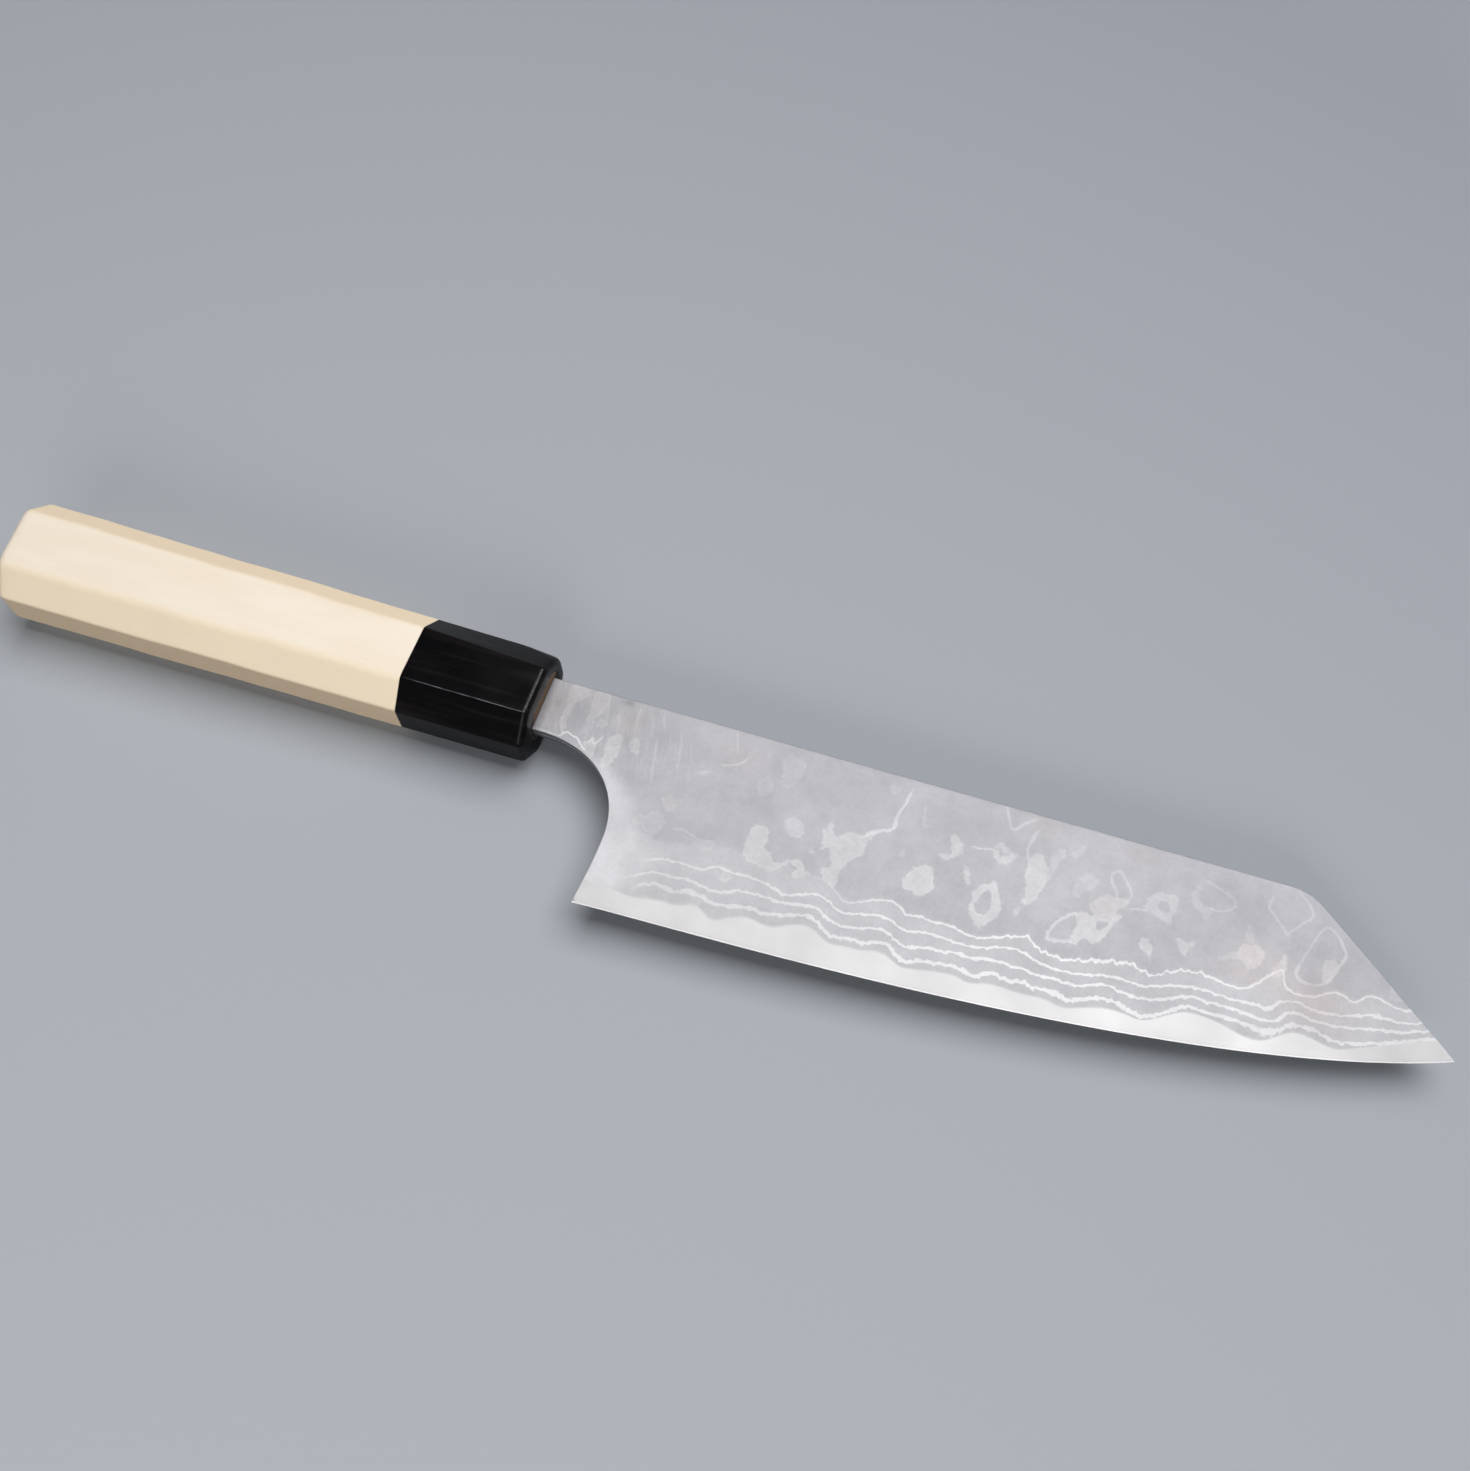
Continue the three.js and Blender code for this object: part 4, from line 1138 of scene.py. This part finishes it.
# the core: up one bevel to its top line, along the inside to the spine, and the same way down
def coreRings():
    low = front[:, 1, None]
    high = back[:, 1, None]
    bevelTop = np.minimum(low + blade["bevelHeight"], coreTop)
    bevelY = mixed(low, bevelTop, np.array([sections["bevelRows"]]))
    riseY = mixed(bevelTop, coreTop, np.linspace(0, 1, sections["bevel"])[None, :])
    insideY = mixed(coreTop, high, np.linspace(0, 1, sections["inside"])[None, 1:])
    y = np.concatenate([bevelY, riseY, insideY], 1)
    x = sectionX(y)
    z = np.minimum(halfThickness(x, y), coreHalf(x))
    upSide = np.stack([x, y, z], -1)
    downSide = np.stack([x, y, -z], -1)[:, ::-1]
    return np.concatenate([upSide, downSide], 1)


# Painted light: painted shade on the choil's wall, which faces down towards the floor, and a painted
# highlight, the glint along the edge bevel
ground = {"wall": -0.45, "bevel": 0.35, "bevelPoints": 2}
wallShadeEase = np.cos(np.linspace(0, np.pi / 2, sections["ease"]))
wallShadeRow = np.concatenate([wallShadeEase, np.zeros(claddingRings(1).shape[1] - len(wallShadeEase) - 1), [1]])
for node, side in (("cladding_right", 1), ("cladding_left", -1)):
    section = claddingRings(side)
    x, y = section[..., 0], section[..., 1]
    markX = x if side > 0 else otherFaceSum - x
    lineScale, lineShade = lineField(x, y)
    patch, patchShade = islandField(markX, y)
    rim, rimShade = rimField(markX, y)
    # its tone: the hills' tone and painted light, and painted shade on the choil's wall
    cladding = skin("damascus_" + node, section, {
        "layer": layersUp(x, y),
        "lineScale": lineScale,
        "lineShade": lineShade,
        "patch": patch,
        "patchShade": patchShade,
        "rim": rim,
        "rimShade": rimShade,
        "wear": wornShare(x, y),
        "streak": streakShare(x, y),
        "stain": hillSum(stains, markX, y),
        "toneAndPaintedLight": hillSum(tonesAndPaintedLight, markX, y) + ground["wall"] * onWall[cladded][:, None] * wallShadeRow,
    })
    dress(cladding, node, damascusSteel)
section = coreRings()
fromEdge = np.minimum(np.arange(section.shape[1]), np.arange(section.shape[1])[::-1])
# the core's tone is all painted light: its hills, the painted glint along the edge bevel and the painted
# shade on the choil's wall
coreLightAndShade = hillSum(corePaintedLight, section[..., 0], section[..., 1])
coreLightAndShade += ground["bevel"] * onEdge[:, None] * (fromEdge < ground["bevelPoints"])
coreLightAndShade += ground["wall"] * onWall[:, None] * (fromEdge == 0)
core = skin("hard_core", section, {"toneAndPaintedLight": coreLightAndShade})
dress(core, "core_steel", coreSteel)
print("blade made:", len(front), "sections")

# Slot in the ferrule and the handle, in millimetres: a round-cornered tongue of wood fills it
slot = {
    "height": 15.6,
    "thickness": 8.6,
    "corner": 3.3,
    "inHandle": 20,
    "glueLine": 0.1,
    "mouthEase": 0.25,
    "wallFrom": -4.0,       # x of its wall's first row
    "tangClearance": 0.3,
    "holeCorner": 0.05,
}
neckMiddle = (blade["neckTop"] + blade["neckBottom"]) / 2
ringPoints = {"arc": 7, "flat": 15, "flatSpan": (0.06, 0.94)}   # the span is that of a face's outer points
cornerNumber = np.arange(8)   # round the octagon, from the far low corner over the top
farSide, farTop, nearTop = 1, 2, 3
evenArris = np.full(8, handle["arris"])


# octagon with rounded arrises at each x, its faces moved in by inset; shift moves each corner along its flat
# face, from the far low corner round over the top, and lean tips the ring by that much x for each y.
# A corner is a quadratic curve, rounder where the faces are moved in, and a face is a straight row.
def octagonRings(x, inset, shift, arris, lean=0.0):
    share = -x / handleReach
    top = mixed(handle["frontHeight"], handle["buttHeight"], share) / 2 - inset
    side = mixed(handle["frontThickness"], handle["buttThickness"], share) / 2 - inset
    chamfer = mixed(handle["frontChamfer"], handle["buttChamfer"], share) - inset * (2 - np.sqrt(2))
    leg = np.moveaxis(chamfer[:, None] + shift * np.ones((1, 8)), 1, 0)
    corners = np.stack([
        np.stack([top, leg[0] - side], -1),
        np.stack([top, side - leg[1]], -1),
        np.stack([top - leg[2], side], -1),
        np.stack([leg[3] - top, side], -1),
        np.stack([-top, side - leg[4]], -1),
        np.stack([-top, leg[5] - side], -1),
        np.stack([leg[6] - top, -side], -1),
        np.stack([top - leg[7], -side], -1),
    ], 1)
    towardsLast = np.roll(corners, 1, 1) - corners
    towardsNext = np.roll(corners, -1, 1) - corners
    reach = (arris + handle["soften"] * inset[:, None])[..., None]
    before = corners + reach * towardsLast / np.linalg.norm(towardsLast, axis=-1, keepdims=True)
    after = corners + reach * towardsNext / np.linalg.norm(towardsNext, axis=-1, keepdims=True)
    t = np.linspace(0, 1, ringPoints["arc"])[:, None]
    arcs = (
        (1 - t) ** 2 * before[:, :, None]
        + 2 * t * (1 - t) * corners[:, :, None]
        + t * t * after[:, :, None]
    )
    s = np.linspace(*ringPoints["flatSpan"], ringPoints["flat"])
    s = (0.5 - 0.5 * np.cos(np.pi * s))[:, None]
    flats = mixed(after[:, :, None], np.roll(before, -1, 1)[:, :, None], s)
    outline = np.concatenate([arcs, flats], 2).reshape(len(x), -1, 2)
    along = x[:, None] + lean * outline[..., 0]
    return np.concatenate([along[..., None], outline], -1)


# quarter-round end: at angle a it stands r(1 - cos a) behind the face, moved in by r(1 - sin a)
def roundedEnd(faceX, inward, radius, steps, shift, arris, lean=0.0):
    angle = np.linspace(0, np.pi / 2, steps)
    x = faceX + inward * radius * (1 - np.cos(angle))
    return octagonRings(x, radius * (1 - np.sin(angle)), shift, arris, lean)


# round-cornered rectangle met by rays at the given directions from its middle
def slotRing(direction, halfHeight, halfWidth, corner):
    cosine, sine = np.abs(direction).T + 1e-9
    flatReach = np.minimum(halfHeight / cosine, halfWidth / sine)
    centre = np.array([halfHeight - corner, halfWidth - corner])
    towards = cosine * centre[0] + sine * centre[1]
    roundReach = towards + np.sqrt(np.maximum(towards ** 2 - centre @ centre + corner ** 2, 0))
    inCorner = (flatReach * cosine > centre[0]) & (flatReach * sine > centre[1])
    return np.where(inCorner, roundReach, flatReach)[:, None] * direction


# an outline of y, z stood up at x, around a middle height
def standUp(outline, x, middle):
    return np.column_stack([np.full(len(outline), x), outline[:, 0] + middle, outline[:, 1]])


# rings at each x of the slot's outline, grown by grow, around the neck's middle
def slotRings(x, grow, direction):
    rows = []
    for oneX, oneGrow in zip(x, grow):
        halfHeight = slot["height"] / 2 + oneGrow
        halfWidth = slot["thickness"] / 2 + oneGrow
        outline = slotRing(direction, halfHeight, halfWidth, slot["corner"] + oneGrow)
        rows.append(standUp(outline, oneX, neckMiddle))
    return np.array(rows)


# ways from the neck's middle to the points of a ring, each of length one
def directionsOf(ring):
    away = ring[:, 1:] - np.array([neckMiddle, 0])
    return away / np.linalg.norm(away, axis=-1, keepdims=True)


# Ferrule: along the outside to the rounded front, over the sanded face, through the slot and round to the
# back. The far top chamfer was cut wider towards the front, and the arris behind it is rubbed round there.
ferruleShape = {
    "outsideRows": 12,
    "frontRows": 7,
    "mouthRows": 5,
    "roundGap": 0.2,        # mm from the last outside row to the rounded front
    "farWider": 1.3,        # mm
    "farRound": 2.4,        # mm
    "farReach": 9,          # mm from the front
    "sandedOver": 5,        # rows over which the painted highlight on the arris sets in
    "wornOver": 2,          # rows over which the worn arris sets in
    "frontWorn": 0.6,       # how strong the painted highlight on the front's top edge is
}
ferruleX = -handle["ferruleLength"]
straightX = -handle["ferruleRound"] - ferruleShape["roundGap"]
outsideX = np.linspace(ferruleX, straightX, ferruleShape["outsideRows"])
wider = ferruleShape["farWider"] * (cornerNumber == farTop)
rubbed = ferruleShape["farRound"] * (cornerNumber == farSide)
widerAlong = (1 - outsideX / ferruleX)[:, None] * wider
rubbedAlong = smoothStep(-ferruleShape["farReach"], 0, outsideX)[:, None] * rubbed
outside = octagonRings(outsideX, np.zeros(len(outsideX)), widerAlong, evenArris + rubbedAlong)
frontRows = ferruleShape["frontRows"]
frontRound = roundedEnd(0, -1, handle["ferruleRound"], frontRows, wider, evenArris + rubbed)[::-1]
direction = directionsOf(frontRound[-1])
mouthAngle = np.linspace(0, np.pi / 2, ferruleShape["mouthRows"])
mouth = slotRings(
    -slot["mouthEase"] * (1 - np.cos(mouthAngle)),
    slot["glueLine"] + slot["mouthEase"] * (1 - np.sin(mouthAngle)),
    direction,
)
wall = slotRings(np.array([slot["wallFrom"], ferruleX]), np.full(2, slot["glueLine"]), direction)
ferruleRings = np.concatenate([outside, frontRound, mouth, wall])
ringNumber = np.arange(len(ferruleRings))
pointNumber = np.arange(ferruleRings.shape[1])
pointsPerSide = ringPoints["arc"] + ringPoints["flat"]
farPoint, nearPoint = (corner * pointsPerSide + ringPoints["arc"] // 2 for corner in (farTop, nearTop))
lastOutside = len(outside) - 1
frontEdge = lastOutside + 2
sanded = smoothStep(lastOutside, lastOutside + ferruleShape["sandedOver"], ringNumber)
# painted highlight along the near top arris and across the front's top edge
alongOutside = smoothStep(0, ferruleShape["wornOver"], ringNumber) * (ringNumber <= frontEdge)
acrossTop = (pointNumber > farPoint) & (pointNumber <= nearPoint)
worn = np.maximum(
    alongOutside[:, None] * (pointNumber == nearPoint),
    ferruleShape["frontWorn"] * (ringNumber == frontEdge)[:, None] * acrossTop,
)
sandedRings = np.broadcast_to(sanded[:, None], ferruleRings.shape[:2])
ferrule = skin("horn_ferrule", ferruleRings, {"sanded": sandedRings, "worn": worn}, looped=True)
dress(ferrule, "ferrule", blackHorn)
print("ferrule made")

# Handle: rounded butt, hand-planed faces that wander a little with soft arrises, then the mortise and the
# tang's hole inside
planing = {
    "rows": 72,
    "buttRows": 9,
    "sway": 0.13,           # mm
    "waves": (47, 26, 13),  # mm, wave k being 1/k as high as the first
    "phases": (0.3, 1.9, 3.4, 5.0),   # one for each chamfer
    "settle": (14, 12),     # mm from the butt and from the front, where it dies away
    "farArris": 0.9,        # mm
    "nearArris": 1.5,       # mm
}
frontX = ferruleX - slot["glueLine"]
buttX = -handleReach
roundX = buttX + handle["buttRound"]
woodX = np.linspace(roundX, frontX, planing["rows"])[1:]
phases = np.array(planing["phases"])
sway = sum(
    np.sin(2 * np.pi * woodX[:, None] / wave + phases * (k + 1)) / (k + 1)
    for k, wave in enumerate(planing["waves"])
)
atButt, atFront = planing["settle"]
settle = smoothStep(roundX, buttX + atButt, woodX) * smoothStep(frontX, frontX - atFront, woodX)
chamferOfCorner = [3, 0, 0, 1, 1, 2, 2, 3]
softArris = np.where(cornerNumber == farTop, planing["farArris"], handle["arris"])
softArris = np.where(cornerNumber == nearTop, planing["nearArris"], softArris)
buttLean = -handle["buttSlant"] / handle["buttHeight"]
butt = roundedEnd(buttX, 1, handle["buttRound"], planing["buttRows"], 0, softArris, buttLean)
bodyShift = (planing["sway"] * sway * settle[:, None])[:, chamferOfCorner]
bodyLean = buttLean * (frontX - woodX) / (frontX - roundX)
body = octagonRings(woodX, np.zeros(len(woodX)), bodyShift, softArris, bodyLean[:, None])
direction = directionsOf(body[-1])
mortiseX = ferruleX - slot["inHandle"] - slot["glueLine"]
mortise = slotRings(np.array([frontX, mortiseX]), np.full(2, slot["glueLine"]), direction)


# the tang's hole at x, met by the same rays: a rectangle that narrows with the tang
def tangHole(x):
    share = -x / blade["tangLength"]
    clearance = slot["tangClearance"]
    neckHeight = blade["neckTop"] - blade["neckBottom"]
    endHeight = blade["tangEndTop"] - blade["tangEndBottom"]
    middle = mixed(neckMiddle, (blade["tangEndTop"] + blade["tangEndBottom"]) / 2, share)
    halfHeight = mixed(neckHeight, endHeight, share) / 2 + clearance
    halfWidth = mixed(blade["neckThickness"], blade["tangEndThickness"], share) / 2 + clearance
    return standUp(slotRing(direction, halfHeight, halfWidth, slot["holeCorner"]), x, middle)


holeEnd = -blade["tangLength"] - slot["tangClearance"]
hole = np.array([tangHole(mortiseX), tangHole(holeEnd)])
woodRings = np.concatenate([butt, body, mortise, hole])
# how much of the painted light and the painted shade each flat takes
woodShade = {   # of the flats round the ring
    "side": [1, 1, 0, 1, 1, 1, 0, 1],
    "shadedSides": [1, 0.4, 0, 0, 1, 0, 0, 0.4],
}


# value of each flat along the ring: eased from one flat to the next over the arc between them
def alongFlats(values):
    turn = smoothStep(0, ringPoints["arc"] - 1, np.arange(pointsPerSide))
    return mixed(np.roll(values, 1)[:, None], np.array(values)[:, None], turn).ravel()


woodSize = woodRings.shape[:2]
woodShares = {key: np.broadcast_to(alongFlats(values), woodSize) for key, values in woodShade.items()}
wood = skin("octagon_handle", woodRings, woodShares)
dress(wood, "handle_body", paleWood)
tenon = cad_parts["tenon"]
tenon.data.materials.clear()
tenon.data.materials.append(darkenedEndGrain)
print("handle made")

# Room: dim, with a pale backdrop low around it that only the eye and the gloss see; the paper's far end is
# painted with a glow that only the eye sees, so that it seems to run up into it
room = {
    "colour": "#ffffff",
    "strength": 0.06,
    "backdrop": 0.65,
    "fade": (8, 32),        # degrees up between which the backdrop ends
    "paperRuns": (600, 1450),   # mm from the middle, between which the paper takes on its glow
    "paperGlow": 0.6,
}

# Floor: a sheet of studio paper, painted paler towards the near left corner and darker away from it, as
# painted light falling off from the lamps
floorFinish = {
    "front": "#b5b9bf",
    "back": "#8b8f97",
    "fade": (-200, 300),    # mm from the middle, between which the print goes from one to the other
    "turn": 62,             # degrees
    "size": 3000,           # mm
    "below": 0.1,           # mm under the knife
    "roughness": 0.85,
    "specular": 0.2,
}


def makeFloor():
    material, tree, surface, spot = newMaterial("graded studio paper")
    # painted light: paler towards the near left corner, darker away from it
    turn = np.radians(floorFinish["turn"])
    slope = (np.cos(turn), np.sin(turn), 0)
    uphill = addNode(tree, "VectorMath", {0: spot, 1: slope}, "Value", operation="DOT_PRODUCT")
    near, far = (edge * mm for edge in floorFinish["fade"])
    fade = addNode(tree, "MapRange", {"Value": uphill, "From Min": near, "From Max": far})
    ends = {6: linear(floorFinish["front"]), 7: linear(floorFinish["back"])}
    colour = addNode(tree, "Mix", {0: fade, **ends}, 2, data_type="RGBA")
    # painted light: a glow on the far paper, seen only by the eye
    away = addNode(tree, "VectorMath", {0: spot}, "Value", operation="LENGTH")
    near, far = (edge * mm for edge in room["paperRuns"])
    glow = addNode(tree, "MapRange", {
        "Value": away, "From Min": near, "From Max": far, "To Max": room["paperGlow"],
    }, interpolation_type="SMOOTHSTEP")
    seen = addNode(tree, "LightPath", {}, "Is Camera Ray")
    glow = addNode(tree, "Math", {0: glow, 1: seen}, operation="MULTIPLY")
    feed(tree, surface, {
        "Base Color": colour,
        "Roughness": floorFinish["roughness"], "Specular IOR Level": floorFinish["specular"],
        "Emission Color": linear(room["colour"]), "Emission Strength": glow,
    })
    reach = floorFinish["size"] / 2 * mm
    height = -floorFinish["below"] * mm
    mesh = bpy.data.meshes.new("floor")
    corners = [(x * reach, y * reach, height) for x, y in ((-1, -1), (1, -1), (1, 1), (-1, 1))]
    mesh.from_pydata(corners, [], [(0, 1, 2, 3)])
    mesh.materials.append(material)
    floor = putInScene("floor", mesh)


makeFloor()

# Light: a wide soft box over and behind the knife and a low one in front of it, in millimetres and watts
lamps = {
    "main": {"at": (280, 410, 1000), "aim": (280, 410, 0), "size": (1150, 1000), "watts": 15.3},
    "fill": {"at": (200, -1000, 560), "aim": (0, 0, 0), "size": (700, 400), "watts": 4.6},
}


# its back points from the aim to its place, and its right is square to that and to y
def makeLamp(name, settings):
    lamp = bpy.data.lights.new(name, "AREA")
    lamp.shape = "RECTANGLE"
    lamp.size, lamp.size_y = (side * mm for side in settings["size"])
    lamp.energy = settings["watts"]
    at, aim = np.array(settings["at"], float), np.array(settings["aim"], float)
    backward = (at - aim) / np.linalg.norm(at - aim)
    sideways = np.cross((0, 1, 0), backward)
    sideways /= np.linalg.norm(sideways)
    upward = np.cross(backward, sideways)
    putInScene(name, lamp).matrix_world = standing([sideways, upward, backward], at * mm)


# strength plus, for rays of the eye, the gloss and glass, the backdrop that fades with the height
def makeRoom():
    world = bpy.data.worlds.new("room")
    world.use_nodes = True
    tree = world.node_tree
    direction = addNode(tree, "TexCoord", {}, "Generated")
    up = addNode(tree, "SeparateXYZ", {0: direction}, "Z")
    full, none = (float(height) for height in np.sin(np.radians(room["fade"])))
    pale = addNode(tree, "MapRange", {
        "Value": up, "From Min": none, "From Max": full, "To Max": room["backdrop"],
    }, interpolation_type="SMOOTHSTEP")
    rays = addNode(tree, "LightPath", {}).node.outputs
    seen = addNode(tree, "Math", {0: rays["Is Camera Ray"], 1: rays["Is Glossy Ray"]}, operation="MAXIMUM")
    seen = addNode(tree, "Math", {0: seen, 1: rays["Is Transmission Ray"]}, operation="MAXIMUM")
    strength = addNode(tree, "Math", {0: seen, 1: pale, 2: room["strength"]}, operation="MULTIPLY_ADD")
    feed(tree, tree.nodes["Background"], {"Color": linear(room["colour"]), "Strength": strength})
    bpy.context.scene.world = world


for name, settings in lamps.items():
    makeLamp(name, settings)
makeRoom()
print("stage lit")

# Camera, fitted in the knife's own axes: degrees, millimetres and pixels of the 1470 by 1471 frame
view = {
    "azimuth": 18.128,
    "elevation": 63.393,
    "roll": 0.148,
    "distance": 296.417,
    "target": (40.84, 6.575, 0),
    "focalPixels": 1400,
    "framePixels": 1471,
    "sensor": 36,
    "clipStart": 10,
}


# stands at the target plus distance times backward; the roll turns its right and top about that
def makeCamera():
    azimuth, elevation, roll = np.radians([view["azimuth"], view["elevation"], view["roll"]])
    backward = np.array([
        np.sin(azimuth) * np.cos(elevation),
        -np.cos(azimuth) * np.cos(elevation),
        np.sin(elevation),
    ])
    level = np.cross((0, 0, 1), backward)
    level /= np.linalg.norm(level)
    upright = np.cross(backward, level)
    sideways = level * np.cos(roll) - upright * np.sin(roll)
    upward = level * np.sin(roll) + upright * np.cos(roll)
    at = place(np.array(view["target"]) + view["distance"] * backward)
    camera = bpy.data.cameras.new("camera")
    camera.sensor_fit = "VERTICAL"
    camera.sensor_height = view["sensor"]
    camera.lens = view["sensor"] * view["focalPixels"] / view["framePixels"]
    camera.clip_start = view["clipStart"] * mm
    cameraObject = putInScene("camera", camera)
    cameraObject.matrix_world = standing(turned([sideways, upward, backward]), at)
    bpy.context.scene.camera = cameraObject


makeCamera()
bpy.context.scene.view_settings.view_transform = "Standard"
print("camera set")
